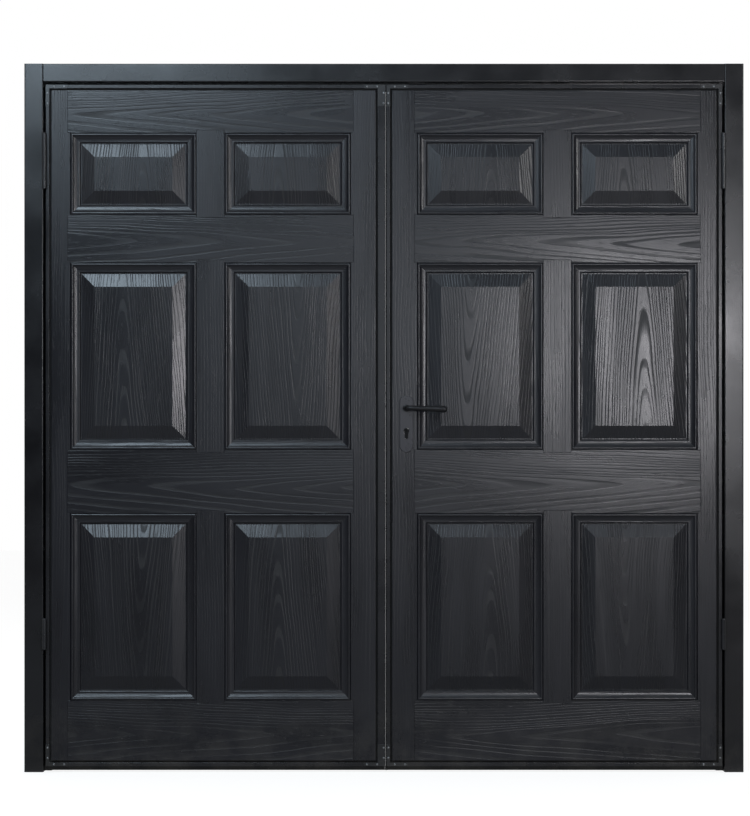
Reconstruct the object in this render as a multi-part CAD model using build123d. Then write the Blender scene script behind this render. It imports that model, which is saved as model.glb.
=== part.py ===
from build123d import *
import math
import os

os.makedirs("parts", exist_ok=True)

# A double garage door: two side-hinged leaves that open outward, in a steel frame.
# Sizes are in millimetres. X runs to the right seen from outside, Y runs inward, Z runs up.
# The origin lies on the floor, midway between the posts, at the middle of the leaves' depth.
# Each half is worked out on the right-hand side, and the left-hand pieces are mirrored.

# Fixed frame
frame_width = 2254.0
frame_height = 2220.0
frame_depth = 68.0
post_face = 60.0
head_face = 58.0
frame_wall = 2.0
frame_corner = 4.0
frame_proud = 2.0
stop_reach = 22.0
stop_gap = 3.0
seal_width = 12.0
seal_base = 1.0
plug_depth = 20.0
bracket_leg = 70.0
bracket_thickness = 3.0
bracket_width = 36.0
bracket_clearance = 0.2

# Running gaps round the leaves
hinge_gap = 7.0
head_gap = 8.0
meeting_gap = 3.0
chassis_lift = 18.5
seal_lift = 6.0
touch_gap = 0.3

# Leaf chassis: a slim nose in front and a tube behind it, rolled as one section
nose = 11.5
passive_nose = 24.5
tube_depth = 22.0
shelf = 22.5
lock_stile_width = 102.0
chassis_wall = 1.5
chassis_corner = 1.5
groove = 6.0
cleat_leg = 68.0
cleat_thickness = 1.5
gasket_set_back = 8.0
sweep_base = 3.0
sweep_fin = 4.0
sweep_width = 14.0
sweep_set_back = 2.0
meeting_seal_thickness = 1.0
meeting_seal_width = 10.0

# Cross braces behind the skin
brace_web = 30.0
brace_flange = 15.0
brace_wall = 1.5

# Moulded skin and the layout of its six fielded panels
skin = 3.0
skin_clearance = 1.0
skin_corner = 1.5
top_margin = 132.5
bottom_margin = 188.0
upper_rail = 149.0
middle_rail = 198.0
top_field_height = 258.0
hinge_margin = 59.0
meeting_margin = 78.0
muntin = 87.0

# Moulding round each field, from its outer edge inward
quirk_width = 1.5
quirk_depth = 3.0
bead_width = 9.0
bead_rise = 3.0
step_width = 1.5
step_depth = 1.0
cove_width = 16.0
cove_fall = 4.0
cove_sag = 1.3
drop_width = 5.0
drop_bulge = 2.0
drop_bulge_place = 0.6
channel_depth = 14.0
channel_width = 3.0
bevel_width = 40.0
field_depth = 3.0

# Hinges
barrel_radius = 7.0
barrel_gap = 1.0
barrel_chamfer = 2.5
pin_radius = 4.0
pin_length = 32.0
pin_clearance = 0.05
pin_end_gap = 1.0
wing_thickness = 2.5
wing_depth = 37.0
wing_corner = 5.0
knuckle_gap = 0.4
upper_hinge_length = 177.0
upper_hinge_drop = 239.0
lower_hinge_length = 99.0
lower_hinge_height = 433.0

# Fixings into the wall
fixing_radius = 5.5
access_radius = 10.0
fixing_lowest = 200.0
fixing_below_hinge = 87.0
fixing_inner_spacing = 540.0

# Lock: a lever that drives a centre bolt and two rods through one pinion
backset = 62.5
lever_height = 1141.0
lever_to_cylinder = 72.0
gear_module = 2.0
gear_teeth = 24
gear_backlash = 0.15
dedendum = 2.5
gear_width = 11.0
pressure_angle = 20.0
rack_overrun = 6.0
lever_throw = 45.0
hub_radius = 10.0
running_clearance = 0.05
slide_clearance = 0.2
spindle_size = 8.0
case_wall = 1.5
case_clearance = 1.5
case_above = 38.0
case_below = 30.0
rack_back = 8.0
rod_thickness = 2.6
rod_tip_radius = 4.5
rod_tip_length = 70.0
rod_tip_chamfer = 1.5
rod_standout = 4.0
rod_floor_gap = 10.0
bolt_height = 16.0
bolt_tail = 4.6
bolt_rod_gap = 2.8
bolt_head_drop = 4.0
bolt_chamfer = 1.0
bolt_inset = 0.2
forend_thickness = 2.0
forend_width = 18.0
forend_height = 235.0
strike_width = 18.0
strike_height = 60.0
strike_room = 1.5
strike_depth = 22.0
guide_height = 20.0

# Lever furniture
plate_width = 42.0
plate_height = 178.0
plate_thickness = 4.0
plate_above_lever = 39.0
plate_edge = 1.2
furniture_clearance = 1.0
lever_length = 127.0
lever_standoff = 44.0
lever_droop = 4.0
lever_neck_radius = 8.0
lever_neck_chamfer = 2.5
lever_waist_x = 40.0
lever_waist_radius = 7.3
lever_palm_x = 92.0
lever_palm_radius = 8.7
lever_end_radius = 10.4
lever_end_chamfer = 4.0
socket_depth = 20.0
collar_radius = 8.5
rose_radius = 11.0
rose_depth = 5.0
cylinder_head_radius = 8.5
cylinder_web = 10.0
cylinder_height = 33.0
cylinder_proud = 2.0
cylinder_clearance = 0.4
cylinder_screw_rise = 4.0
plug_radius = 6.5
cam_radius = 15.0
cam_width = 9.0
cam_finger = 6.0
key_width = 1.8
key_height = 8.0
key_drop = 1.0
key_depth = 20.0
cylinder_screw_radius = 2.4
packer_width = 50.0
packer_margin = 6.0

# Shoot bolts on the inner side of the passive leaf
shoot_radius = 5.0
shoot_length = 230.0
shoot_chamfer = 1.5
shoot_clearance = 0.1
shoot_axis_gap = 5.0
shoot_plate_width = 36.0
shoot_plate_length = 200.0
shoot_plate_thickness = 2.0
shoot_saddle = 18.0
shoot_saddle_width = 20.0
shoot_saddle_inset = 6.0
shoot_saddle_wall = 3.0
shoot_saddle_round = 6.0
shoot_end_gap = 16.0
shoot_top_gap = 2.0
shoot_floor_gap = 14.0
shoot_throw = 30.0
shoot_knob_radius = 4.5
shoot_knob_length = 20.0
shoot_knob_chamfer = 1.5
keep_thickness = 2.0
keep_width = 18.0
keep_corner = 4.0
keep_length = 60.0
keep_clearance = 0.8
cup_wall = 1.5
cup_room = 3.4

# Places that follow from the sizes above
nose_depth = channel_depth + skin + skin_clearance
leaf_depth = nose_depth + tube_depth
leaf_front = -leaf_depth / 2
leaf_back = leaf_depth / 2
tube_front = leaf_front + nose_depth
frame_front = leaf_front - frame_proud
frame_back = frame_front + frame_depth
stop_front = leaf_back + stop_gap
opening_half = frame_width / 2 - post_face
head_under = frame_height - head_face
stop_under = head_under - stop_reach
leaf_top = head_under - head_gap
leaf_bottom = chassis_lift
hinge_edge = opening_half - hinge_gap
rail_tube = nose + shelf

panel_width = opening_half - hinge_gap - meeting_gap / 2 - nose - 2 * groove - (nose + passive_nose) / 2
panel_right = hinge_edge - nose - groove
panel_left = panel_right - panel_width
panel_bottom = leaf_bottom + nose + groove
panel_top = leaf_top - nose - groove
active_edge = panel_left - groove - nose
passive_edge = panel_left - groove - passive_nose

field_width = (panel_width - hinge_margin - meeting_margin - muntin) / 2
rows_left = panel_top - panel_bottom - top_margin - top_field_height - upper_rail - middle_rail
tall_field_height = (rows_left - bottom_margin) / 2
moulding_reach = (
    quirk_width + bead_width + step_width + cove_width + drop_width + channel_width + bevel_width
)

hinge_axis_x = opening_half - hinge_gap / 2
hinge_axis_y = frame_front - barrel_radius - barrel_gap
upper_hinge_z = leaf_top - upper_hinge_drop

lever_x = active_edge + backset
cylinder_z = lever_height - lever_to_cylinder
lock_y = (tube_front + leaf_back) / 2
pitch_radius = gear_module * gear_teeth / 2
root_offset = pitch_radius + dedendum
rod_offset = root_offset + rack_back / 2
case_depth = tube_depth - 2 * chassis_wall - 2 * case_clearance
case_front = lock_y - case_depth / 2
case_back = lock_y + case_depth / 2
gear_front = lock_y - gear_width / 2
gear_back = lock_y + gear_width / 2
case_left = active_edge + forend_thickness
case_right = active_edge + lock_stile_width - chassis_wall - slide_clearance
case_top = lever_height + case_above
case_bottom = cylinder_z - case_below
plate_top = lever_height + plate_above_lever
plate_bottom = plate_top - plate_height
shoot_x = -passive_edge - (passive_nose + shelf) / 2
shoot_y = leaf_back + shoot_plate_thickness + shoot_axis_gap + shoot_radius
frame_depths = (frame_front, stop_front, frame_back)
leaf_depths = (leaf_front, tube_front, leaf_back)
bolt_throw = math.radians(lever_throw) * pitch_radius
teeth_needed = math.ceil((bolt_throw + rack_overrun) / (math.pi * gear_module))

# Place, underside, bolt radius and throw at each keep in the head
rod_keep = ((lever_x + rod_offset, lock_y), head_under, rod_tip_radius, bolt_throw)
shoot_keep = ((shoot_x, shoot_y), stop_under, shoot_radius, shoot_throw)


# Small helpers

def block(x, y, z):
    """A box between the low and high values given for each axis."""
    centre = [(low + high) / 2 for low, high in (x, y, z)]
    size = [high - low for low, high in (x, y, z)]
    return Pos(*centre) * Box(*size)


def rod_along(axis, radius, start, end, at):
    """A round bar along X, Y or Z, from start to end, whose axis passes through at."""
    bar = Cylinder(radius, end - start)
    middle = (start + end) / 2
    if axis == "x":
        return Pos(middle, at[0], at[1]) * Rot(0, 90, 0) * bar
    if axis == "y":
        return Pos(at[0], middle, at[1]) * Rot(90, 0, 0) * bar
    return Pos(at[0], at[1], middle) * bar


def group(shapes):
    """Separate solids that share one node."""
    return Compound([solid for shape in shapes for solid in shape.solids()])


def laid_down(shape):
    """An upright shape turned about Y, so that its X becomes Z and its height runs to -X."""
    return Rot(0, -90, 0) * shape


def flipped(shape):
    """The same piece on the left-hand side."""
    return mirror(shape, about=Plane.YZ)


def stepped_outline(edge, inward, front_width, back_width, depths):
    """An L-shaped outline as (across, depth) points: a front part, and a wider part behind it."""
    front, step, back = depths
    front_edge = edge + inward * front_width
    back_edge = edge + inward * back_width
    return [
        (edge, front),
        (front_edge, front),
        (front_edge, step),
        (back_edge, step),
        (back_edge, back),
        (edge, back),
    ]


def rolled_section(points, wall, corner):
    """A closed rolled section: rounded outside corners and an even wall."""
    outline = make_face(Polyline(*points, close=True))
    outside = fillet(outline.vertices(), corner)
    return outside - offset(outline, amount=-wall, kind=Kind.INTERSECTION)


def upright(points, wall, corner, bottom, top):
    """A rolled section that stands from bottom to top."""
    return Pos(0, 0, bottom) * extrude(rolled_section(points, wall, corner), amount=top - bottom)


def crosswise(points, wall, corner, left, right):
    """A rolled section that runs from left to right."""
    turned = [(depth, across) for across, depth in points]
    section = Plane.YZ * rolled_section(turned, wall, corner)
    return Pos(left, 0, 0) * extrude(section, amount=right - left)


# Fixed frame

def fixing_heights():
    """Heights of the wall fixings: an outer pair and an inner pair about one centre."""
    highest = upper_hinge_z - upper_hinge_length / 2 - fixing_below_hinge
    centre = (fixing_lowest + highest) / 2
    inner = fixing_inner_spacing / 2
    return [fixing_lowest, centre - inner, centre + inner, highest]


def post():
    """A post with its stop lip, cut away where the head comes down to it."""
    points = stepped_outline(
        frame_width / 2, -1, post_face, post_face + stop_reach, frame_depths
    )
    shape = upright(points, frame_wall, frame_corner, 0, frame_height)
    shape -= block(
        (opening_half - stop_reach, opening_half),
        (stop_front - frame_corner, frame_back),
        (stop_under, frame_height),
    )
    hole_y = (frame_front + stop_front) / 2
    for height in fixing_heights():
        outer = (frame_width / 2 - frame_wall, frame_width / 2)
        inner = (opening_half, opening_half + frame_wall)
        shape -= rod_along("x", fixing_radius, outer[0], outer[1], (hole_y, height))
        shape -= rod_along("x", access_radius, inner[0], inner[1], (hole_y, height))
    return shape


def head_tube(front, back, keep):
    """A tube of the head down to its keep, with a square cup welded in for the bolt."""
    place, under, radius, throw = keep
    outline = [(frame_height, front), (under, front), (under, back), (frame_height, back)]
    shape = crosswise(outline, frame_wall, frame_corner, -opening_half, opening_half)
    half = radius + keep_clearance
    height = throw + cup_room
    shape += square_bar(place, half + cup_wall, under, under + height + cup_wall)
    return shape - square_bar(place, half, under, under + height)


def head_rail():
    """The head's front tube, with the cup for the top rod."""
    return head_tube(frame_front, stop_front, rod_keep)


def head_stop():
    """The tube behind the head that the leaves close against, with the cup for the shoot bolt."""
    return head_tube(stop_front, frame_back, shoot_keep)


def square_bar(place, half, low, high):
    """A square bar along Z."""
    x, y = place
    return block((x - half, x + half), (y - half, y + half), (low, high))


def head_keep(keep):
    """A keep plate under a cup, with rounded corners and a square hole for the bolt."""
    place, under, radius, _ = keep
    low = under - keep_thickness
    outline = RectangleRounded(keep_length, keep_width, keep_corner)
    plate = Pos(*place, low) * extrude(outline, amount=keep_thickness)
    return plate - square_bar(place, radius + keep_clearance, low, under)


def head_keeps():
    """The keep plate for the top rod, and the one for the top shoot bolt."""
    return group([head_keep(keep) for keep in (rod_keep, shoot_keep)])


def head_bracket():
    """A folded channel inside the end of the head, against the post's inner wall."""
    low = head_under + frame_wall + bracket_clearance
    high = frame_height - frame_wall - bracket_clearance
    middle = (frame_front + stop_front) / 2
    depth = (middle - bracket_width / 2, middle + bracket_width / 2)
    outside = block((opening_half - bracket_leg, opening_half), depth, (low, high))
    hollow = block(
        (opening_half - bracket_leg, opening_half - bracket_thickness),
        depth,
        (low + bracket_thickness, high - bracket_thickness),
    )
    return outside - hollow


def post_plug():
    """A plug that closes the foot of a post, flush with its end."""
    points = stepped_outline(
        frame_width / 2, -1, post_face, post_face + stop_reach, frame_depths
    )
    outline = make_face(Polyline(*points, close=True))
    inside = offset(outline, amount=-frame_wall - bracket_clearance, kind=Kind.INTERSECTION)
    return extrude(inside, amount=plug_depth)


def post_cap():
    """A plug that closes the top of a post, above the head's end."""
    inset = frame_wall + bracket_clearance
    return block(
        (opening_half + inset, frame_width / 2 - inset),
        (frame_front + inset, frame_back - inset),
        (frame_height - plug_depth, frame_height),
    )


def seal_section():
    """A D-shaped seal, as (across, depth) with its flat base at depth 0 and its bulb towards the leaf."""
    bulb = -(stop_gap - touch_gap)
    half = seal_width / 2
    edge = Polyline((half, -seal_base), (half, 0), (-half, 0), (-half, -seal_base))
    round_top = ThreePointArc((-half, -seal_base), (0, bulb), (half, -seal_base))
    return make_face([edge, round_top])


def side_seal():
    """The seal on a post's stop lip."""
    middle = (opening_half - stop_reach + hinge_edge) / 2
    section = Pos(middle, stop_front) * seal_section()
    return Pos(0, 0, seal_lift) * extrude(section, amount=stop_under - seal_lift)


def head_seal():
    """The seal on the head's stop lip, between the posts."""
    middle = (stop_under + leaf_top) / 2
    strip = extrude(Pos(middle, stop_front) * seal_section(), amount=2 * opening_half)
    return Pos(opening_half, 0, 0) * laid_down(strip)


# Hinges

def hinge_list():
    """Middle height and length of each hinge."""
    return [
        (upper_hinge_z, upper_hinge_length),
        (lower_hinge_height, lower_hinge_length),
    ]


def hinge_half(face_x, outward, hinge, direction):
    """One half of a lift-off hinge, above or below the joint in its barrel, on a face at face_x."""
    middle, length = hinge
    joint = middle + direction * knuckle_gap / 2
    end = middle + direction * length / 2
    low, high = min(joint, end), max(joint, end)
    barrel = rod_along("z", barrel_radius, low, high, (hinge_axis_x, hinge_axis_y))
    rims = barrel.edges().filter_by(GeomType.CIRCLE).sort_by(Axis.Z)
    shape = chamfer(rims[-1] if direction > 0 else rims[0], barrel_chamfer)
    far_x = face_x + outward * wing_thickness
    across = (min(face_x, far_x), max(face_x, far_x))
    wing_end = end - direction * barrel_chamfer
    wing_heights = (min(joint, wing_end), max(joint, wing_end))
    wing_front = hinge_axis_y + barrel_radius + touch_gap
    wing = block(across, (wing_front, wing_front + wing_depth), wing_heights)
    back_edges = wing.edges().filter_by(Axis.X).group_by(Axis.Y)[-1]
    shape += fillet(back_edges, wing_corner)
    return shape + block(across, (hinge_axis_y, wing_front), wing_heights)


def frame_hinge_half(hinge):
    """The lower half, on the post, with the pin that stands up from it."""
    low = hinge[0] - knuckle_gap / 2
    pin = rod_along("z", pin_radius, low, low + pin_length, (hinge_axis_x, hinge_axis_y))
    return hinge_half(opening_half, -1, hinge, -1) + pin


def leaf_hinge_half(hinge):
    """The upper half, on the leaf's stile, bored for the pin."""
    low = hinge[0] - knuckle_gap / 2
    bore_end = low + pin_length + pin_end_gap
    bore = rod_along(
        "z", pin_radius + pin_clearance, low, bore_end, (hinge_axis_x, hinge_axis_y)
    )
    return hinge_half(hinge_edge, 1, hinge, 1) - bore


def frame_wings():
    """The lower halves of both hinges of one side."""
    return group([frame_hinge_half(hinge) for hinge in hinge_list()])


def leaf_wings():
    """The upper halves of both hinges of one side."""
    return group([leaf_hinge_half(hinge) for hinge in hinge_list()])


# Leaf chassis

def hinge_stile():
    """The stile that carries the hinge wings."""
    points = stepped_outline(hinge_edge, -1, nose, nose + shelf, leaf_depths)
    return upright(points, chassis_wall, chassis_corner, leaf_bottom, leaf_top)


def meeting_stile(edge, nose_width, tube_width):
    """The stile at the middle of the opening."""
    points = stepped_outline(edge, 1, nose_width, tube_width, leaf_depths)
    return upright(points, chassis_wall, chassis_corner, leaf_bottom, leaf_top)


def leaf_rail(edge, inward, meeting_edge, nose_width, tube_width):
    """A top or bottom rail: its nose runs between the stiles' noses, its tube between their tubes."""
    points = stepped_outline(edge, inward, nose, rail_tube, leaf_depths)
    left = meeting_edge + nose_width
    right = hinge_edge - nose
    shape = crosswise(points, chassis_wall, chassis_corner, left, right)
    height = (min(edge, edge + inward * rail_tube), max(edge, edge + inward * rail_tube))
    notch = (tube_front - chassis_corner, tube_front)
    for near, tube_end in ((left, meeting_edge + tube_width), (right, right - shelf)):
        inner = near + math.copysign(chassis_corner, tube_end - near)
        shape -= block((min(near, tube_end), max(near, tube_end)), (tube_front, leaf_back), height)
        shape -= block((min(near, inner), max(near, inner)), notch, height)
    return shape


def corner_cleat(edge, inward_x, width, end, inward_z):
    """An L-shaped plate over one corner of the chassis."""
    points = [
        (edge, end),
        (edge + inward_x * cleat_leg, end),
        (edge + inward_x * cleat_leg, end + inward_z * nose),
        (edge + inward_x * width, end + inward_z * nose),
        (edge + inward_x * width, end + inward_z * cleat_leg),
        (edge, end + inward_z * cleat_leg),
    ]
    outline = Plane.XZ * make_face(Polyline(*points, close=True))
    return Pos(0, leaf_front, 0) * extrude(outline, amount=cleat_thickness)


def corner_cleats(meeting_edge, nose_width):
    """The four cleats of a leaf."""
    return group(
        [
            corner_cleat(edge, inward_x, width, end, inward_z)
            for edge, inward_x, width in ((hinge_edge, -1, nose), (meeting_edge, 1, nose_width))
            for end, inward_z in ((leaf_top, -1), (leaf_bottom, 1))
        ]
    )


def brace_heights():
    """Middle heights of the braces, behind the two inner rails of the skin."""
    top_row_bottom = panel_top - top_margin - top_field_height
    middle_row_bottom = top_row_bottom - upper_rail - tall_field_height
    return [top_row_bottom - upper_rail / 2, middle_row_bottom - middle_rail / 2]


def brace(height, left, right):
    """A hat-shaped brace: flanges against the skin, and a web flush with the back of the leaf."""
    front = leaf_front + skin
    half_web = brace_web / 2
    half_all = half_web + brace_flange
    points = [
        (front, half_all),
        (front, half_web - brace_wall),
        (leaf_back - brace_wall, half_web - brace_wall),
        (leaf_back - brace_wall, -half_web + brace_wall),
        (front, -half_web + brace_wall),
        (front, -half_all),
        (front + brace_wall, -half_all),
        (front + brace_wall, -half_web),
        (leaf_back, -half_web),
        (leaf_back, half_web),
        (front + brace_wall, half_web),
        (front + brace_wall, half_all),
    ]
    section = Plane.YZ * make_face(Polyline(*points, close=True))
    return Pos(left, 0, height) * extrude(section, amount=right - left)


def braces(meeting_edge, tube_width):
    """Both braces of a leaf, between its stiles."""
    left = meeting_edge + tube_width
    right = hinge_edge - nose - shelf
    return group([brace(height, left, right) for height in brace_heights()])


def gasket_section(start):
    """The gasket's section as (across, depth): it fills the groove, set back from its mouth."""
    front = leaf_front + gasket_set_back
    outline = Polyline(
        (start, front),
        (start + groove, front),
        (start + groove, tube_front - chassis_corner),
        (start + groove - chassis_corner, tube_front),
        (start + chassis_corner, tube_front),
        (start, tube_front - chassis_corner),
        close=True,
    )
    return make_face(outline)


def panel_gasket():
    """Four strips in the groove; the uprights stop at the rails' rounded corners."""
    foot = panel_bottom - groove + chassis_corner
    length = panel_top + groove - chassis_corner - foot
    uprights = [
        Pos(0, 0, foot) * extrude(gasket_section(start), amount=length)
        for start in (panel_left - groove, panel_right)
    ]
    flats = [
        Pos(panel_right, 0, 0) * laid_down(extrude(gasket_section(start), amount=panel_width))
        for start in (panel_bottom - groove, panel_top)
    ]
    return group(uprights + flats)


def bottom_seal(meeting_edge):
    """A rubber strip under the bottom rail, tapered to a blunt fin."""
    front = leaf_front + sweep_set_back
    points = [
        (front, leaf_bottom),
        (front, leaf_bottom - sweep_base),
        (front + (sweep_width - sweep_fin) / 2, seal_lift),
        (front + (sweep_width + sweep_fin) / 2, seal_lift),
        (front + sweep_width, leaf_bottom - sweep_base),
        (front + sweep_width, leaf_bottom),
    ]
    section = Plane.YZ * make_face(Polyline(*points, close=True))
    left = meeting_edge + sweep_set_back
    return Pos(left, 0, 0) * extrude(section, amount=hinge_edge - sweep_set_back - left)


# Moulded skin

def moulding_front():
    """The front line of the moulding, as (inward, depth) edges from the outer edge to the field."""
    quirk = (quirk_width, quirk_depth)
    bead_end = (quirk[0] + bead_width, quirk_depth)
    step_end = (bead_end[0] + step_width, quirk_depth + step_depth)
    cove_end = (step_end[0] + cove_width, step_end[1] + cove_fall)
    drop_end = (cove_end[0] + drop_width, channel_depth)
    channel_end = (drop_end[0] + channel_width, channel_depth)
    bevel_end = (channel_end[0] + bevel_width, field_depth)
    bead_top = ((quirk[0] + bead_end[0]) / 2, quirk_depth - bead_rise)
    cove_mid = ((step_end[0] + cove_end[0]) / 2, (step_end[1] + cove_end[1]) / 2 + cove_sag)
    drop_middle_depth = (cove_end[1] + channel_depth) / 2 - drop_bulge / 2
    drop_mid = (cove_end[0] + drop_width * drop_bulge_place, drop_middle_depth)
    return [
        Line((0, 0), quirk),
        ThreePointArc(quirk, bead_top, bead_end),
        Line(bead_end, step_end),
        ThreePointArc(step_end, cove_mid, cove_end),
        ThreePointArc(cove_end, drop_mid, drop_end),
        Line(drop_end, channel_end),
        Line(channel_end, bevel_end),
    ]


def moulding_section():
    """The moulding's section: its front line, and straight back faces one skin deeper."""
    front = moulding_front()
    corners = [edge @ 0 for edge in front] + [front[-1] @ 1]
    back = [(corner.X, corner.Y + skin) for corner in corners]
    closing = Polyline(corners[-1], *reversed(back), corners[0])
    return make_face(front + [closing])


def moulding_side(length):
    """One side of a moulding along Z, mitred at both ends, with its outer edge at X = 0."""
    bar = extrude(moulding_section(), amount=length / 2, both=True)
    half = length / 2
    mitre = Polyline(
        (0, -half),
        (moulding_reach, moulding_reach - half),
        (moulding_reach, half - moulding_reach),
        (0, half),
        close=True,
    )
    depth = channel_depth + skin + skin_clearance
    wedge = Pos(0, depth, 0) * extrude(Plane.XZ * make_face(mitre), amount=2 * depth)
    return bar & wedge


def fielded_panel(width, height):
    """A raised and fielded panel about the origin: four mitred sides round a flat field."""
    left = Pos(-width / 2, 0, 0) * moulding_side(height)
    right = mirror(left, about=Plane.YZ)
    bottom = laid_down(Pos(-height / 2, 0, 0) * moulding_side(width))
    top = mirror(bottom, about=Plane.XY)
    inset = 2 * moulding_reach
    field = Pos(0, field_depth + skin / 2, 0) * Box(width - inset, skin, height - inset)
    return left + right + bottom + top + field


def field_places():
    """Middle of each field as (x, z, height), column by column from the top row down."""
    places = []
    for column in range(2):
        x = panel_left + meeting_margin + field_width / 2 + column * (field_width + muntin)
        top = panel_top - top_margin
        for height, below in (
            (top_field_height, upper_rail),
            (tall_field_height, middle_rail),
            (tall_field_height, bottom_margin),
        ):
            places.append((x, top - height / 2, height))
            top -= height + below
    return places


def panel_skin():
    """The moulded skin: a tray whose edges turn back to the chassis, with six fielded panels."""
    across = (panel_left, panel_right)
    up = (panel_bottom, panel_top)
    tray = block(across, (leaf_front, tube_front), up)
    tray = fillet(tray.faces().sort_by(Axis.Y)[0].edges(), skin_corner)
    tray -= block(
        (across[0] + skin, across[1] - skin),
        (leaf_front + skin, tube_front),
        (up[0] + skin, up[1] - skin),
    )
    mouldings = {
        height: fielded_panel(field_width, height)
        for height in {top_field_height, tall_field_height}
    }
    for x, z, height in field_places():
        half_width = field_width / 2
        half_height = height / 2
        tray -= block(
            (x - half_width, x + half_width),
            (leaf_front, leaf_front + skin),
            (z - half_height, z + half_height),
        )
    return tray + [Pos(x, leaf_front, z) * mouldings[height] for x, z, height in field_places()]


# Lock

def cylinder_profile(clearance):
    """The keyhole-shaped profile of the cylinder as a sketch about the plug's axis, X across and Y up."""
    radius = cylinder_head_radius + clearance
    half_web = cylinder_web / 2 + clearance
    bottom = cylinder_head_radius - cylinder_height - clearance
    web = Pos(0, (bottom + half_web) / 2) * Rectangle(2 * half_web, -bottom - half_web)
    foot = Pos(0, bottom + half_web) * Circle(half_web)
    return Circle(radius) + web + foot


def cylinder_bar(clearance, start, end):
    """The cylinder's profile from one depth to another, at the cylinder's place."""
    flat = Plane.XZ * cylinder_profile(clearance)
    return Pos(lever_x, end, cylinder_z) * extrude(flat, amount=end - start)


def lever_bore(radius, start, end):
    """A round bar on the lever's axis."""
    return rod_along("y", radius, start, end, (lever_x, lever_height))


def spindle_bar(clearance, start, end):
    """A square bar on the lever's axis."""
    half = spindle_size / 2 + clearance
    return block(
        (lever_x - half, lever_x + half), (start, end), (lever_height - half, lever_height + half)
    )


def lock_holes(start, end):
    """The round hole for the lever's hub and the profile hole for the cylinder, through a wall."""
    hub = lever_bore(hub_radius + furniture_clearance, start, end)
    return hub + cylinder_bar(furniture_clearance, start, end)


def forend_span():
    """Low and high ends of the forend."""
    middle = (lever_height + cylinder_z) / 2
    return (middle - forend_height / 2, middle + forend_height / 2)


def active_stile():
    """The meeting stile of the active leaf, cut for the lock."""
    shape = meeting_stile(active_edge, nose, lock_stile_width)
    shape -= lock_holes(tube_front, tube_front + chassis_wall)
    shape -= lock_holes(leaf_back - chassis_wall, leaf_back)
    shape -= block(
        (active_edge, active_edge + chassis_wall),
        (lock_y - forend_width / 2, lock_y + forend_width / 2),
        forend_span(),
    )
    return shape


def active_panel(panel):
    """The skin of the active leaf, cut for the lever and the cylinder."""
    return panel - lock_holes(leaf_front, leaf_front + skin)


def lock_packer():
    """A block between the skin and the lock stile, so that the furniture clamps on something solid."""
    half = packer_width / 2
    shape = block(
        (lever_x - half, lever_x + half),
        (leaf_front + skin, tube_front),
        (plate_bottom - packer_margin, plate_top + packer_margin),
    )
    return shape - lock_holes(leaf_front + skin, tube_front)


def bolt_span(clearance):
    """Height of the centre bolt's head."""
    middle = lever_height + rod_offset - bolt_head_drop
    return (middle - bolt_height / 2 - clearance, middle + bolt_height / 2 + clearance)


def bolt_depth(clearance):
    """Depth of the centre bolt's head."""
    return (gear_front + slide_clearance - clearance, gear_back - slide_clearance + clearance)


def rod_depth(clearance):
    """Depth of the two flat rods, at the back of the gear."""
    back = gear_back - slide_clearance
    return (back - rod_thickness - clearance, back + clearance)


def rod_slots():
    """The slots in the case's top and bottom walls for the rods."""
    half = rack_back / 2 + slide_clearance
    top_x = lever_x + rod_offset
    low_x = lever_x - rod_offset
    depth = rod_depth(slide_clearance)
    top = block((top_x - half, top_x + half), depth, (case_top - case_wall, case_top))
    low = block((low_x - half, low_x + half), depth, (case_bottom, case_bottom + case_wall))
    return [top, low]


def lock_case():
    """The lock's folded case, open towards its cover."""
    seam = case_front + case_wall
    outside = block((case_left, case_right), (seam, case_back), (case_bottom, case_top))
    inside = block(
        (case_left + case_wall, case_right - case_wall),
        (seam, case_back - case_wall),
        (case_bottom + case_wall, case_top - case_wall),
    )
    shape = outside - inside
    wall = (case_back - case_wall, case_back)
    shape -= lever_bore(hub_radius + running_clearance, *wall)
    shape -= cylinder_bar(cylinder_clearance, *wall)
    shape -= block(
        (case_left, case_left + case_wall), bolt_depth(slide_clearance), bolt_span(slide_clearance)
    )
    shape -= cylinder_screw_hole(case_left, case_left + case_wall)
    return shape - rod_slots()


def lock_case_cover():
    """The flat cover of the lock case."""
    wall = (case_front, case_front + case_wall)
    shape = block((case_left, case_right), wall, (case_bottom, case_top))
    shape -= lever_bore(hub_radius + running_clearance, *wall)
    return shape - cylinder_bar(cylinder_clearance, *wall)


def cylinder_screw_height():
    """Height of the screw that holds the cylinder, in the foot of its profile."""
    return cylinder_z + cylinder_head_radius - cylinder_height + cylinder_screw_rise


def cylinder_screw_hole(start, end):
    """A clear hole for the cylinder's screw."""
    place = (lock_y, cylinder_screw_height())
    return rod_along("x", cylinder_screw_radius + slide_clearance, start, end, place)


def lock_forend():
    """The forend, flush in the edge of the stile, pierced for the bolt and the cylinder's screw."""
    across = (active_edge, active_edge + forend_thickness)
    depth = (lock_y - forend_width / 2, lock_y + forend_width / 2)
    shape = block(across, depth, forend_span())
    shape -= block(across, bolt_depth(slide_clearance), bolt_span(slide_clearance))
    return shape - cylinder_screw_hole(*across)


def involute(angle):
    """The involute function of a pressure angle in radians."""
    return math.tan(angle) - angle


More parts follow.
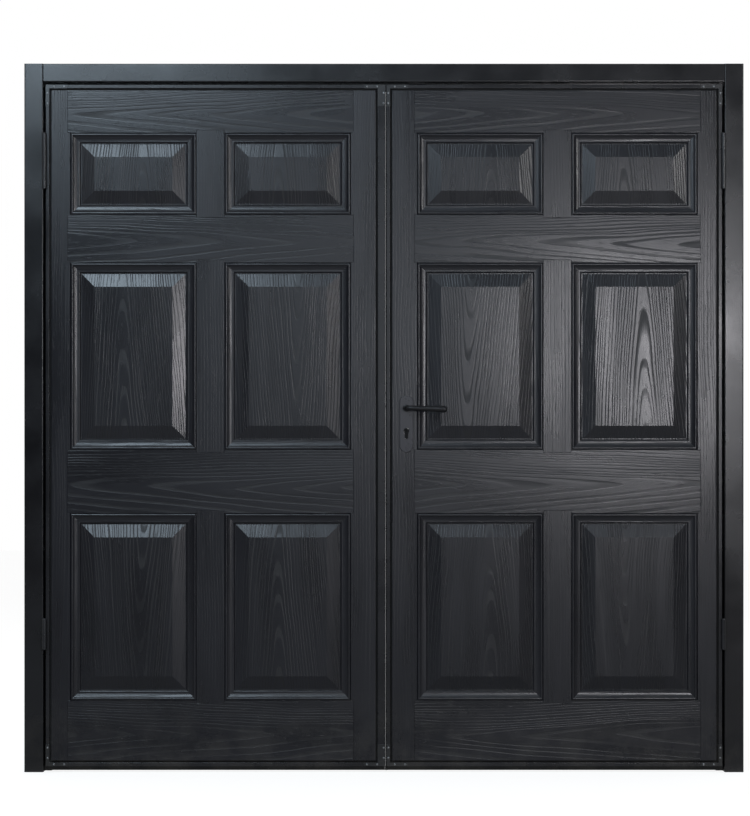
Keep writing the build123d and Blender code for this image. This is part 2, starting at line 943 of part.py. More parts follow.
def gear_outline():
    """An involute spur gear about the origin, with a gap between teeth on each half axis."""
    base_radius = pitch_radius * math.cos(math.radians(pressure_angle))
    tip_radius = pitch_radius + gear_module
    root_radius = pitch_radius - dedendum
    pitch_half = math.pi / (2 * gear_teeth) - gear_backlash / (2 * pitch_radius)
    flank = []
    for radius in (base_radius, pitch_radius, tip_radius):
        pressure = math.acos(base_radius / radius)
        half = pitch_half + involute(math.radians(pressure_angle)) - involute(pressure)
        flank.append((radius, half))
    root = (root_radius, flank[0][1])
    points = []
    for tooth in range(gear_teeth):
        middle = (tooth + 0.5) * 2 * math.pi / gear_teeth
        rising = [(r, middle - half) for r, half in [root] + flank]
        falling = [(r, middle + half) for r, half in reversed([root] + flank)]
        points += [(r * math.cos(turn), r * math.sin(turn)) for r, turn in rising + falling]
    return make_face(Polyline(*points, close=True))


def lock_pinion():
    """The pinion that the spindle turns, with a hub that runs in the walls of the case."""
    gear = extrude(Plane.XZ * gear_outline(), amount=gear_width)
    shape = Pos(lever_x, gear_back, lever_height) * gear
    shape += lever_bore(hub_radius, case_front, case_back)
    return shape - spindle_bar(running_clearance, case_front, case_back)


def rack_teeth(first, last):
    """Rack teeth along Y of a sketch, pointing to -X, with the pitch line at X = 0."""
    pitch = math.pi * gear_module
    slope = math.tan(math.radians(pressure_angle))
    half = pitch / 4 - gear_backlash / 2
    tip = half - gear_module * slope
    root = half + dedendum * slope
    teeth = []
    for number in range(first, last + 1):
        middle = number * pitch
        points = [
            (dedendum, middle - root),
            (-gear_module, middle - tip),
            (-gear_module, middle + tip),
            (dedendum, middle + root),
        ]
        teeth.append(make_face(Polyline(*points, close=True)))
    return teeth


def rack_plan(length_after):
    """A rack about the pitch point: teeth to -X, and a back that runs on along +Y, the way it is thrown."""
    length_before = (teeth_needed + 0.5) * math.pi * gear_module
    back = Pos(dedendum + rack_back / 2, (length_after - length_before) / 2)
    bar = back * Rectangle(rack_back, length_before + length_after)
    return bar + rack_teeth(-teeth_needed, 1)


def toothed_bar(plan, angle, depth):
    """A rack plan turned about the lever's axis, with its pitch line at the pitch radius."""
    placed = Rot(0, 0, angle) * (Pos(pitch_radius, 0) * plan)
    bar = extrude(Plane.XZ * placed, amount=depth[1] - depth[0])
    return Pos(lever_x, depth[1], lever_height) * bar


def rod_tip(x, start, end, chamfer_end):
    """The round tip of a rod, with its free end chamfered."""
    tip = rod_along("z", rod_tip_radius, start, end, (x, lock_y))
    rims = tip.edges().filter_by(GeomType.CIRCLE).sort_by(Axis.Z)
    return chamfer(rims[-1] if chamfer_end == "top" else rims[0], rod_tip_chamfer)


def top_rod():
    """The rod from the pinion to the head: a rack, a flat bar and a round tip."""
    tip_end = leaf_top + rod_standout
    tip_start = tip_end - rod_tip_length
    plan = rack_plan(tip_start - lever_height + rod_tip_radius)
    return toothed_bar(plan, 0, rod_depth(0)) + rod_tip(lever_x + rod_offset, tip_start, tip_end, "top")


def bottom_rod():
    """The rod from the pinion to the floor."""
    tip_end = rod_floor_gap
    tip_start = tip_end + rod_tip_length
    plan = rack_plan(lever_height - tip_start + rod_tip_radius)
    bar = toothed_bar(plan, 180, rod_depth(0))
    return bar + rod_tip(lever_x - rod_offset, tip_end, tip_start, "bottom")


def centre_bolt():
    """The centre bolt: a rack over the pinion, and a head that stands flush in the forend."""
    head_left = active_edge + bolt_inset
    head_right = lever_x - rod_offset - rack_back / 2 - bolt_rod_gap
    plan = rack_plan(lever_x - head_right + slide_clearance)
    depth = (gear_front + slide_clearance, gear_front + slide_clearance + bolt_tail)
    tail = toothed_bar(plan, 90, depth)
    head = block((head_left, head_right), bolt_depth(0), bolt_span(0))
    front_edges = head.edges().filter_by(Axis.Z).group_by(Axis.X)[0]
    return chamfer(front_edges, bolt_chamfer) + tail


def rod_guides():
    """Plugs in the ends of the lock stile, each bored for its rod."""
    inset = chassis_wall + slide_clearance
    across = (active_edge + inset, active_edge + lock_stile_width - inset)
    depth = (tube_front + inset, leaf_back - inset)
    bore = rod_tip_radius + 2 * running_clearance
    guides = []
    for x, low in (
        (lever_x + rod_offset, leaf_top - guide_height),
        (lever_x - rod_offset, leaf_bottom),
    ):
        plug = block(across, depth, (low, low + guide_height))
        guides.append(plug - rod_along("z", bore, low, low + guide_height, (x, lock_y)))
    return group(guides)


def meeting_seal():
    """A thin strip on the edge of the active leaf, near its front."""
    front = leaf_front + chassis_corner
    return block(
        (active_edge - meeting_seal_thickness, active_edge),
        (front, front + meeting_seal_width),
        (leaf_bottom, leaf_top),
    )


def strike_middle():
    """Height of the middle of the strike."""
    low, high = bolt_span(0)
    return (low + high) / 2


def passive_stile():
    """The meeting stile of the passive leaf on the right-hand side, cut for the strike."""
    middle = strike_middle()
    shape = meeting_stile(passive_edge, passive_nose, passive_nose + shelf)
    shape -= block(
        (passive_edge, passive_edge + chassis_wall),
        (lock_y - strike_width / 2, lock_y + strike_width / 2),
        (middle - strike_height / 2, middle + strike_height / 2),
    )
    return shape


def strike_keep():
    """The strike: a plate flush in the stile's edge, with a box behind that takes the bolt."""
    middle = strike_middle()
    plate = block(
        (passive_edge, passive_edge + chassis_wall),
        (lock_y - strike_width / 2, lock_y + strike_width / 2),
        (middle - strike_height / 2, middle + strike_height / 2),
    )
    depth = bolt_depth(strike_room)
    height = bolt_span(strike_room)
    wall = chassis_wall
    box = block(
        (passive_edge, passive_edge + strike_depth + wall),
        (depth[0] - wall, depth[1] + wall),
        (height[0] - wall, height[1] + wall),
    )
    return plate + box - block((passive_edge, passive_edge + strike_depth), depth, height)


# Lever furniture and cylinder

def outer_backplate():
    """The outer backplate: long, with round ends, and a softened front edge."""
    middle = (plate_top + plate_bottom) / 2
    outline = SlotOverall(plate_height, plate_width, rotation=90)
    plate = extrude(Plane.XZ * outline, amount=plate_thickness)
    rim = plate.faces().sort_by(Axis.Y)[0].edges()
    plate = Pos(lever_x, leaf_front, middle) * chamfer(rim, plate_edge)
    face = leaf_front - plate_thickness
    plate -= lever_bore(collar_radius + running_clearance, face, leaf_front)
    return plate - cylinder_bar(cylinder_clearance, face, leaf_front)


def inner_side(shape):
    """The same piece on the inner side of the leaf."""
    return mirror(shape, about=Plane.XZ)


def lever_grip():
    """The grip about the pivot: a round bar, slim at the waist and swelling towards its end."""
    rim = lever_end_radius - lever_end_chamfer
    outline = [
        (0, 0),
        (0, lever_neck_radius),
        (lever_waist_x, lever_waist_radius),
        (lever_palm_x, lever_palm_radius),
        (lever_length - lever_end_chamfer, lever_end_radius),
        (lever_length, rim),
        (lever_length, 0),
    ]
    bar = revolve(make_face(Polyline(*outline, close=True)), axis=Axis.X)
    droop = math.degrees(math.atan(lever_droop / lever_length))
    return Rot(0, droop, 0) * bar


def outer_lever():
    """The outer lever: a collar in the backplate, a rose, a round neck and the grip."""
    face = leaf_front - plate_thickness
    grip_y = leaf_front - lever_standoff
    neck = lever_bore(lever_neck_radius, grip_y - lever_neck_radius, face)
    front_rim = neck.edges().filter_by(GeomType.CIRCLE).sort_by(Axis.Y)[0]
    shape = chamfer(front_rim, lever_neck_chamfer)
    shape += Pos(lever_x, grip_y, lever_height) * lever_grip()
    shape += lever_bore(collar_radius, face - touch_gap, leaf_front)
    shape += lever_bore(rose_radius, face - rose_depth, face - touch_gap)
    return shape - spindle_bar(running_clearance, face - socket_depth - touch_gap, leaf_front)


def spindle():
    """The square spindle that joins both levers to the pinion."""
    reach = leaf_depth / 2 + plate_thickness + socket_depth
    return spindle_bar(0, -reach, reach)


def cylinder_ends():
    """Front and back ends of the cylinder, a little proud of both backplates."""
    reach = leaf_depth / 2 + plate_thickness + cylinder_proud
    return (-reach, reach)


def cylinder_body():
    """The cylinder's body: two halves joined by a bridge under the cam, bored for the plugs."""
    front, back = cylinder_ends()
    shape = cylinder_bar(0, front, back)
    cam_gap = cam_width / 2 + slide_clearance
    bridge_top = cylinder_z - cam_radius - furniture_clearance
    shape -= block(
        (lever_x - cylinder_head_radius, lever_x + cylinder_head_radius),
        (lock_y - cam_gap, lock_y + cam_gap),
        (bridge_top, cylinder_z + cylinder_head_radius),
    )
    bore = plug_radius + running_clearance
    shape -= rod_along("y", bore, front, back, (lever_x, cylinder_z))
    place = (lock_y, cylinder_screw_height())
    web = cylinder_web / 2
    return shape - rod_along(
        "x", cylinder_screw_radius + running_clearance, lever_x - web, lever_x + web, place
    )


def cylinder_plugs():
    """The two plugs, each with its keyway."""
    front, back = cylinder_ends()
    cam_half = cam_width / 2
    plugs = []
    for start, end, key_start, key_end in (
        (front, lock_y - cam_half, front, front + key_depth),
        (lock_y + cam_half, back, back - key_depth, back),
    ):
        plug = rod_along("y", plug_radius, start, end, (lever_x, cylinder_z))
        keyway = block(
            (lever_x - key_width / 2, lever_x + key_width / 2),
            (max(key_start, start), min(key_end, end)),
            (cylinder_z - key_drop - key_height / 2, cylinder_z - key_drop + key_height / 2),
        )
        plugs.append(plug - keyway)
    return group(plugs)


def cylinder_cam():
    """The cam between the plugs: a ring with one finger, which hangs down when the key is out."""
    depth = (lock_y - cam_width / 2, lock_y + cam_width / 2)
    ring = rod_along("y", cylinder_head_radius, depth[0], depth[1], (lever_x, cylinder_z))
    half = cam_finger / 2
    finger = block(
        (lever_x - half, lever_x + half), depth, (cylinder_z - cam_radius + half, cylinder_z)
    )
    tip = rod_along("y", half, depth[0], depth[1], (lever_x, cylinder_z - cam_radius + half))
    return ring + finger + tip


def cylinder_screw():
    """The screw that holds the cylinder, from the forend into the bridge."""
    place = (lock_y, cylinder_screw_height())
    return rod_along("x", cylinder_screw_radius, active_edge, lever_x + cylinder_web / 2, place)


# Shoot bolts

def shoot_place(upward):
    """Rest height of a shoot bolt's tip, and the direction in which it is thrown."""
    if upward:
        return stop_under - keep_thickness - shoot_top_gap, 1
    return shoot_floor_gap, -1


def shoot_guide(upward):
    """A guide plate with two saddles bored for the bolt."""
    tip, throw = shoot_place(upward)
    near = tip - throw * shoot_end_gap
    far = near - throw * shoot_plate_length
    plate_back = leaf_back + shoot_plate_thickness
    half = shoot_plate_width / 2
    plate = block(
        (shoot_x - half, shoot_x + half), (leaf_back, plate_back), (min(near, far), max(near, far))
    )
    shape = fillet(plate.edges().filter_by(Axis.Y), keep_corner)
    saddle_half = shoot_saddle_width / 2
    saddle_back = shoot_y + shoot_radius + shoot_saddle_wall
    for end, inward in ((near, -throw), (far, throw)):
        first = end + inward * shoot_saddle_inset
        last = first + inward * shoot_saddle
        saddle = block(
            (shoot_x - saddle_half, shoot_x + saddle_half),
            (plate_back, saddle_back),
            (min(first, last), max(first, last)),
        )
        crown = saddle.edges().filter_by(Axis.Z).group_by(Axis.Y)[-1]
        shape += fillet(crown, shoot_saddle_round)
    bore = shoot_radius + shoot_clearance
    return shape - rod_along("z", bore, min(near, far), max(near, far), (shoot_x, shoot_y))


def shoot_bolt(upward):
    """A round bolt with a chamfered tip and a knob that stands inward."""
    tip, throw = shoot_place(upward)
    tail = tip - throw * shoot_length
    bar = rod_along("z", shoot_radius, min(tip, tail), max(tip, tail), (shoot_x, shoot_y))
    ends = bar.edges().filter_by(GeomType.CIRCLE).sort_by(Axis.Z)
    bar = chamfer(ends[-1] if upward else ends[0], shoot_chamfer)
    knob_height = tip - throw * (shoot_end_gap + (shoot_plate_length + shoot_throw) / 2)
    knob_end = shoot_y + shoot_radius + shoot_knob_length
    knob = rod_along("y", shoot_knob_radius, shoot_y, knob_end, (shoot_x, knob_height))
    rim = knob.edges().filter_by(GeomType.CIRCLE).sort_by(Axis.Y)[-1]
    return bar + chamfer(rim, shoot_knob_chamfer)


# The fixed frame's pieces

def frame_pieces():
    """The nodes of the fixed frame."""
    return {
        "left_post": flipped(post()),
        "right_post": post(),
        "head_rail": head_rail(),
        "head_stop": head_stop(),
        "head_brackets": group([head_bracket(), flipped(head_bracket())]),
        "post_foot_plugs": group([post_plug(), flipped(post_plug())]),
        "post_top_caps": group([post_cap(), flipped(post_cap())]),
        "side_seals": group([side_seal(), flipped(side_seal())]),
        "head_seal": head_seal(),
        "head_keeps": head_keeps(),
        "left_hinge_lower_halves": flipped(frame_wings()),
        "right_hinge_lower_halves": frame_wings(),
    }


def leaf_pieces(meeting_edge, nose_width, tube_width):
    """The pieces that both leaves have, on the right-hand side."""
    return {
        "hinge_stile": hinge_stile(),
        "top_rail": leaf_rail(leaf_top, -1, meeting_edge, nose_width, tube_width),
        "bottom_rail": leaf_rail(leaf_bottom, 1, meeting_edge, nose_width, tube_width),
        "corner_cleats": corner_cleats(meeting_edge, nose_width),
        "braces": braces(meeting_edge, tube_width),
        "panel_gasket": panel_gasket(),
        "bottom_seal": bottom_seal(meeting_edge),
        "hinge_upper_halves": leaf_wings(),
    }


def passive_leaf(panel):
    """The nodes of the left leaf."""
    shared = leaf_pieces(passive_edge, passive_nose, passive_nose + shelf)
    pieces = {f"left_{name}": flipped(shape) for name, shape in shared.items()}
    pieces["left_meeting_stile"] = flipped(passive_stile())
    pieces["left_panel"] = flipped(panel)
    pieces["strike_keep"] = flipped(strike_keep())
    for name, upward in (("top", True), ("bottom", False)):
        pieces[f"{name}_bolt_guide"] = shoot_guide(upward)
        pieces[f"{name}_shoot_bolt"] = shoot_bolt(upward)
    return pieces


def active_leaf(panel):
    """The nodes of the right leaf."""
    shared = leaf_pieces(active_edge, nose, lock_stile_width)
    pieces = {f"right_{name}": shape for name, shape in shared.items()}
    pieces["right_meeting_stile"] = active_stile()
    pieces["right_panel"] = active_panel(panel)
    pieces["meeting_seal"] = meeting_seal()
    pieces["lock_packer"] = lock_packer()
    return pieces


def lock_pieces():
    """The nodes of the lock, its furniture and its cylinder."""
    return {
        "lock_case": lock_case(),
        "lock_case_cover": lock_case_cover(),
        "lock_forend": lock_forend(),
        "lock_pinion": lock_pinion(),
        "centre_bolt": centre_bolt(),
        "top_rod": top_rod(),
        "bottom_rod": bottom_rod(),
        "rod_guides": rod_guides(),
        "outer_backplate": outer_backplate(),
        "inner_backplate": inner_side(outer_backplate()),
        "outer_lever": outer_lever(),
        "inner_lever": inner_side(outer_lever()),
        "spindle": spindle(),
        "cylinder_body": cylinder_body(),
        "cylinder_plugs": cylinder_plugs(),
        "cylinder_cam": cylinder_cam(),
        "cylinder_screw": cylinder_screw(),
    }


moulded_panel = panel_skin()
nodes = {
    **frame_pieces(),
    **passive_leaf(moulded_panel),
    **active_leaf(moulded_panel),
    **lock_pieces(),
}
for name, shape in nodes.items():
    export_step(shape, f"parts/{name}.step")
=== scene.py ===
"""Looks of a double side-hinged garage door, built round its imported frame.

Two outward-opening leaves hang in a steel box-section frame. Each leaf is a slim steel
chassis that holds a moulded skin with wood grain and six raised and fielded panels. The
right leaf carries a lever on a long backplate and a profile cylinder.

Sizes in the classes are in millimetres and are turned into metres by MM.
"""

import logging
import math
import random
from collections.abc import Iterable, Sequence
from dataclasses import dataclass
from enum import Enum

import bmesh
import bpy
from mathutils import Matrix, Vector


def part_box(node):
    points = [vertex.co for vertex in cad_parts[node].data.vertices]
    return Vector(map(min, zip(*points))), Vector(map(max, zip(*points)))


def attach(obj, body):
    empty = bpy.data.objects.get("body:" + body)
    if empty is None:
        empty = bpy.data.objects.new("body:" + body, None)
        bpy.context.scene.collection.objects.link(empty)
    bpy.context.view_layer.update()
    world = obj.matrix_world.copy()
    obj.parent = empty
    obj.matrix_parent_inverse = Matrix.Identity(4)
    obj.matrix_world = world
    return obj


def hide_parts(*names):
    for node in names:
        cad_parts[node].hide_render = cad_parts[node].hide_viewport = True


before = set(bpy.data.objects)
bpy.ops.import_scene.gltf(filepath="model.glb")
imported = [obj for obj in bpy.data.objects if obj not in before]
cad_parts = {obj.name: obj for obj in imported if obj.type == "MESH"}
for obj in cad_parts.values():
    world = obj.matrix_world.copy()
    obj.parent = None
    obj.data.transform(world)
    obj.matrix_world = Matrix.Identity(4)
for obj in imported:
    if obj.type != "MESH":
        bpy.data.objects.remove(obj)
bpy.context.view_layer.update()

log = logging.getLogger("garage_door")

MM = 0.001
Point = tuple[float, float]
Socket = bpy.types.NodeSocket


class Side(Enum):
    """A side of the opening, as the sign of its X."""

    LEFT = -1
    RIGHT = 1

    @property
    def word(self) -> str:
        """The side's name as it stands in node names."""
        return self.name.lower()


class Recess(Enum):
    """How a screw's head is driven."""

    SOCKET = "socket"
    PLAIN = "plain"


# Node trees


class Tree:
    """A node tree with short calls to add nodes and wire them."""

    def __init__(self, tree: bpy.types.NodeTree) -> None:
        """Keep the tree.

        Args:
            tree: the node tree to add to.
        """
        self.tree = tree

    def add(self, kind: str, **settings: object) -> bpy.types.Node:
        """Add a node.

        Args:
            kind: the node's Blender type, without its ShaderNode prefix.
            settings: properties of the node.

        Returns:
            The new node.
        """
        node = self.tree.nodes.new(kind if kind.startswith("NodeGroup") else "ShaderNode" + kind)
        for name, value in settings.items():
            setattr(node, name, value)
        return node

    def feed(self, socket: Socket, value: object) -> None:
        """Wire a socket to another one, or set its value.

        Args:
            socket: the input to feed.
            value: an output socket, or a plain value.
        """
        if isinstance(value, bpy.types.NodeSocket):
            self.tree.links.new(value, socket)
        else:
            socket.default_value = value

    def math(self, operation: str, *values: object, clamp: bool = False) -> Socket:
        """A Math node.

        Args:
            operation: the operation's name.
            values: its inputs, sockets or numbers.
            clamp: hold the result between 0 and 1.

        Returns:
            The result.
        """
        node = self.add("Math", operation=operation, use_clamp=clamp)
        for socket, value in zip(node.inputs, values, strict=False):
            self.feed(socket, value)
        return node.outputs[0]

    def join(self, x: object, y: object, z: object) -> Socket:
        """A vector from three numbers or sockets."""
        node = self.add("CombineXYZ")
        for socket, value in zip(node.inputs, (x, y, z), strict=True):
            self.feed(socket, value)
        return node.outputs[0]

    def split(self, vector: Socket) -> tuple[Socket, Socket, Socket]:
        """The three parts of a vector."""
        node = self.add("SeparateXYZ")
        self.feed(node.inputs[0], vector)
        return node.outputs[0], node.outputs[1], node.outputs[2]

    def noise(self, vector: Socket, scale: float, detail: float = 2.0, rough: float = 0.5) -> Socket:
        """A noise value.

        Args:
            vector: where it is read.
            scale: its scale.
            detail: its octaves.
            rough: how strong the finer octaves are.

        Returns:
            The noise, about 0.5.
        """
        node = self.add("TexNoise")
        self.feed(node.inputs["Vector"], vector)
        self.feed(node.inputs["Scale"], scale)
        self.feed(node.inputs["Detail"], detail)
        self.feed(node.inputs["Roughness"], rough)
        return node.outputs["Fac"]

    def span(self, value: object, low: object, high: object, to_low: float = 0.0, to_high: float = 1.0) -> Socket:
        """A smooth, clamped change of range.

        Args:
            value: what is changed.
            low: the value that becomes to_low.
            high: the value that becomes to_high.
            to_low: the result at low.
            to_high: the result at high.

        Returns:
            The changed value.
        """
        node = self.add("MapRange", interpolation_type="SMOOTHSTEP")
        for socket, given in zip(node.inputs, (value, low, high, to_low, to_high), strict=False):
            self.feed(socket, given)
        return node.outputs[0]

    def blend(self, share: object, first: object, second: object) -> Socket:
        """A mix of two colours.

        Args:
            share: how much of the second.
            first: a colour or socket.
            second: a colour or socket.

        Returns:
            The mixed colour.
        """
        node = self.add("Mix", data_type="RGBA")
        self.feed(node.inputs[0], share)
        self.feed(node.inputs[6], rgba(first))
        self.feed(node.inputs[7], rgba(second))
        return node.outputs[2]

    def place(self, group: bpy.types.NodeTree, **inputs: object) -> bpy.types.Node:
        """Place a node group.

        Args:
            group: the group.
            inputs: values for its inputs, with _ for each space in their names.

        Returns:
            The group's node.
        """
        node = self.add("Group")
        node.node_tree = group
        for name, value in inputs.items():
            self.feed(node.inputs[name.replace("_", " ")], value)
        return node


def rgba(colour: object) -> object:
    """A colour with its alpha; a socket is returned as it is."""
    if isinstance(colour, bpy.types.NodeSocket):
        return colour
    return (*colour[:3], 1.0)


def new_group(name: str, inputs: dict[str, float | None], outputs: dict[str, str]) -> tuple[Tree, bpy.types.Node, bpy.types.Node]:
    """A shader node group with named sockets.

    Args:
        name: the group's name.
        inputs: its inputs by name; None stands for a vector, a number is a float's default.
        outputs: its outputs by name, with their socket kinds.

    Returns:
        The group's tree, its input node and its output node.
    """
    group = bpy.data.node_groups.new(name, "ShaderNodeTree")
    for label, value in inputs.items():
        kind = "NodeSocketVector" if value is None else "NodeSocketFloat"
        socket = group.interface.new_socket(label, in_out="INPUT", socket_type=kind)
        if value is not None:
            socket.default_value = value
    for label, kind in outputs.items():
        group.interface.new_socket(label, in_out="OUTPUT", socket_type="NodeSocket" + kind)
    tree = Tree(group)
    return tree, tree.add("NodeGroupInput"), tree.add("NodeGroupOutput")


class Effects:
    """The shared effects, each a node group that is built once."""

    def __init__(self) -> None:
        """Build every group."""
        self.grain = self._grain()
        self.powder = self._powder()
        self.wear = self._wear()
        self.dust = self._dust()
        self.zinc = self._zinc()

    @staticmethod
    def _grain() -> bpy.types.NodeTree:
        """Wood grain pressed into the skin: growth rings, open pores and fine fibres.

        Returns:
            The group. Vector is (across, along, depth) in metres.
        """
        t, given, made = new_group(
            "Wood Grain",
            {"Vector": None, "Seed": 0.0, "Cathedral": 0.0, "Ring Width": 0.0085},
            {"Height": "Float", "Rings": "Float", "Pores": "Float", "Tone": "Float"},
        )
        across, along, _ = t.split(given.outputs["Vector"])
        seed = t.math("MULTIPLY", given.outputs["Seed"], 31.7)
        slow = t.join(t.math("MULTIPLY", across, 6.0), t.math("MULTIPLY", along, 1.3), seed)
        sway = t.math("SUBTRACT", t.noise(slow, 1.0, 2.0), 0.5)
        quick = t.join(t.math("MULTIPLY", across, 26.0), t.math("MULTIPLY", along, 4.5), seed)
        ripple = t.math("SUBTRACT", t.noise(quick, 1.0, 2.0), 0.5)
        bent = t.math("ADD", across, t.math("MULTIPLY", sway, 0.055))
        bent = t.math("ADD", bent, t.math("MULTIPLY", ripple, 0.006))
        # nested arches: level lines of a rounded ridge that falls along the board
        cube = t.math("POWER", t.math("ABSOLUTE", bent), 3.0)
        ridge = t.math("POWER", t.math("ADD", cube, 0.000003), 1 / 3)
        way = given.outputs["Cathedral"]
        arch = t.math("ADD", ridge, t.math("MULTIPLY", t.math("MULTIPLY", along, way), 0.075))
        straight = t.math("ADD", bent, t.math("MULTIPLY", along, 0.006))
        share = t.math("ABSOLUTE", way)
        level = t.math("ADD", t.math("MULTIPLY", arch, share), t.math("MULTIPLY", straight, t.math("SUBTRACT", 1.0, share)))
        # rings of uneven width
        years = t.join(t.math("MULTIPLY", level, 38.0), seed, 4.0)
        level = t.math("ADD", level, t.math("MULTIPLY", t.math("SUBTRACT", t.noise(years, 1.0, 3.0), 0.5), 0.022))
        phase = t.math("FRACT", t.math("DIVIDE", level, given.outputs["Ring Width"]))
        late = t.span(phase, 0.55, 0.8)
        early = t.span(phase, 0.9, 1.0, 1.0, 0.0)
        ring = t.math("MULTIPLY", late, early)
        fade = t.noise(t.join(t.math("MULTIPLY", across, 16.0), t.math("MULTIPLY", along, 2.2), seed), 1.0, 2.0)
        ring = t.math("MULTIPLY", ring, t.span(fade, 0.32, 0.62, 0.25, 1.0))
        ring = t.math("MULTIPLY", ring, t.span(share, 0.0, 1.0, 0.4, 1.0))
        # open pores, more of them beside the rings
        streak = t.join(t.math("MULTIPLY", bent, 620.0), t.math("MULTIPLY", along, 26.0), seed)
        edge = t.math("SUBTRACT", 0.63, t.math("MULTIPLY", ring, 0.12))
        pores = t.span(t.noise(streak, 1.0, 2.0, 0.55), edge, t.math("ADD", edge, 0.1))
        hair = t.join(t.math("MULTIPLY", bent, 1500.0), t.math("MULTIPLY", along, 42.0), seed)
        fibre = t.noise(hair, 1.0, 2.0)
        height = t.math("MULTIPLY", ring, -0.34)
        height = t.math("SUBTRACT", height, t.math("MULTIPLY", pores, 0.09))
        height = t.math("ADD", height, t.math("MULTIPLY", fibre, 0.014))
        broad = t.join(t.math("MULTIPLY", across, 11.0), t.math("MULTIPLY", along, 1.7), seed)
        t.feed(made.inputs["Height"], height)
        t.feed(made.inputs["Rings"], ring)
        t.feed(made.inputs["Pores"], pores)
        t.feed(made.inputs["Tone"], t.noise(broad, 1.0, 3.0))
        return t.tree

    @staticmethod
    def _powder() -> bpy.types.NodeTree:
        """The fine orange peel of a baked coat, with broad changes of gloss.

        Returns:
            The group.
        """
        t, given, made = new_group(
            "Baked Coat", {"Vector": None, "Peel Scale": 700.0}, {"Height": "Float", "Gloss": "Float"}
        )
        peel = t.noise(given.outputs["Vector"], given.outputs["Peel Scale"], 2.0, 0.45)
        t.feed(made.inputs["Height"], peel)
        t.feed(made.inputs["Gloss"], t.noise(given.outputs["Vector"], 5.0, 4.0, 0.6))
        return t.tree

    @staticmethod
    def _wear() -> bpy.types.NodeTree:
        """Edges that are rubbed: a mask where the surface turns, and a normal that rounds it.

        Returns:
            The group.
        """
        t, given, made = new_group(
            "Edge Wear", {"Vector": None, "Radius": 0.001, "Amount": 0.5}, {"Mask": "Float", "Normal": "Vector"}
        )
        bevel = t.add("Bevel", samples=4)
        t.feed(bevel.inputs["Radius"], given.outputs["Radius"])
        here = t.add("NewGeometry")
        dot = t.add("VectorMath", operation="DOT_PRODUCT")
        t.feed(dot.inputs[0], bevel.outputs[0])
        t.feed(dot.inputs[1], here.outputs["Normal"])
        turn = t.span(t.math("SUBTRACT", 1.0, dot.outputs["Value"]), 0.02, 0.22)
        patchy = t.span(t.noise(given.outputs["Vector"], 90.0, 4.0, 0.65), 0.42, 0.66)
        mask = t.math("MULTIPLY", t.math("MULTIPLY", turn, patchy), given.outputs["Amount"], clamp=True)
        t.feed(made.inputs["Mask"], mask)
        t.feed(made.inputs["Normal"], bevel.outputs[0])
        return t.tree

    @staticmethod
    def _dust() -> bpy.types.NodeTree:
        """Dust that settles on ledges and splashes up from the ground.

        Returns:
            The group.
        """
        t, given, made = new_group("Settled Dust", {"Vector": None, "Amount": 0.5}, {"Mask": "Float"})
        _, _, height = t.split(given.outputs["Vector"])
        here = t.add("NewGeometry")
        _, _, up = t.split(here.outputs["Normal"])
        ledge = t.span(up, 0.35, 0.95)
        splash = t.span(height, 0.32, 0.0, 0.0, 0.55)
        cloud = t.span(t.noise(given.outputs["Vector"], 14.0, 6.0, 0.7), 0.36, 0.68)
        speck = t.span(t.noise(given.outputs["Vector"], 420.0, 3.0, 0.7), 0.45, 0.75, 0.35, 1.0)
        whole = t.math("MULTIPLY", t.math("ADD", ledge, splash), t.math("MULTIPLY", cloud, speck))
        t.feed(made.inputs["Mask"], t.math("MULTIPLY", whole, given.outputs["Amount"], clamp=True))
        return t.tree

    @staticmethod
    def _zinc() -> bpy.types.NodeTree:
        """Zinc plating: faint crystals and drawing lines.

        Returns:
            The group.
        """
        t, given, made = new_group("Zinc Plating", {"Vector": None}, {"Tone": "Float", "Height": "Float"})
        cells = t.add("TexVoronoi", feature="F1")
        t.feed(cells.inputs["Vector"], given.outputs["Vector"])
        t.feed(cells.inputs["Scale"], 130.0)
        x, y, z = t.split(given.outputs["Vector"])
        lines = t.join(t.math("MULTIPLY", x, 2200.0), t.math("MULTIPLY", y, 2200.0), t.math("MULTIPLY", z, 30.0))
        tone = t.add("SeparateColor")
        t.feed(tone.inputs[0], cells.outputs["Color"])
        t.feed(made.inputs["Tone"], tone.outputs[0])
        t.feed(made.inputs["Height"], t.noise(lines, 1.0, 2.0))
        return t.tree


# Finishes


@dataclass(frozen=True)
class Finish:
    """A finish: its base colour, gloss and metal, and what its surface does."""

    name: str
    colour: tuple[float, float, float]
    roughness: float
    metallic: float = 0.0
    specular: float = 0.5

    def make(self, effects: Effects) -> bpy.types.Material:
        """Make the material.

        Args:
            effects: the shared node groups.

        Returns:
            The material.
        """
        material = bpy.data.materials.new(self.name)
        material.use_nodes = True
        tree = Tree(material.node_tree)
        shader = material.node_tree.nodes["Principled BSDF"]
        shader.inputs["Metallic"].default_value = self.metallic
        shader.inputs["Specular IOR Level"].default_value = self.specular
        where = tree.add("TexCoord").outputs["Object"]
        self.surface(tree, shader, effects, where)
        return material

    def surface(self, t: Tree, shader: bpy.types.Node, effects: Effects, where: Socket) -> None:
        """Wire the surface; a finish of its own kind does this its own way.

        Args:
            t: the material's tree.
            shader: the Principled BSDF.
            effects: the shared node groups.
            where: the object's coordinates.
        """
        raise NotImplementedError

    @staticmethod
    def raise_bump(t: Tree, shader: bpy.types.Node, height: Socket, depth: float, normal: Socket | None = None) -> None:
        """Feed a height to the shader's normal.

        Args:
            t: the material's tree.
            shader: the Principled BSDF.
            height: the height, as a share of depth.
            depth: metres that a height of 1 stands for.
            normal: the normal that the bump starts from.
        """
        bump = t.add("Bump")
        bump.inputs["Distance"].default_value = depth
        t.feed(bump.inputs["Height"], height)
        if normal is not None:
            t.feed(bump.inputs["Normal"], normal)
        t.feed(shader.inputs["Normal"], bump.outputs[0])


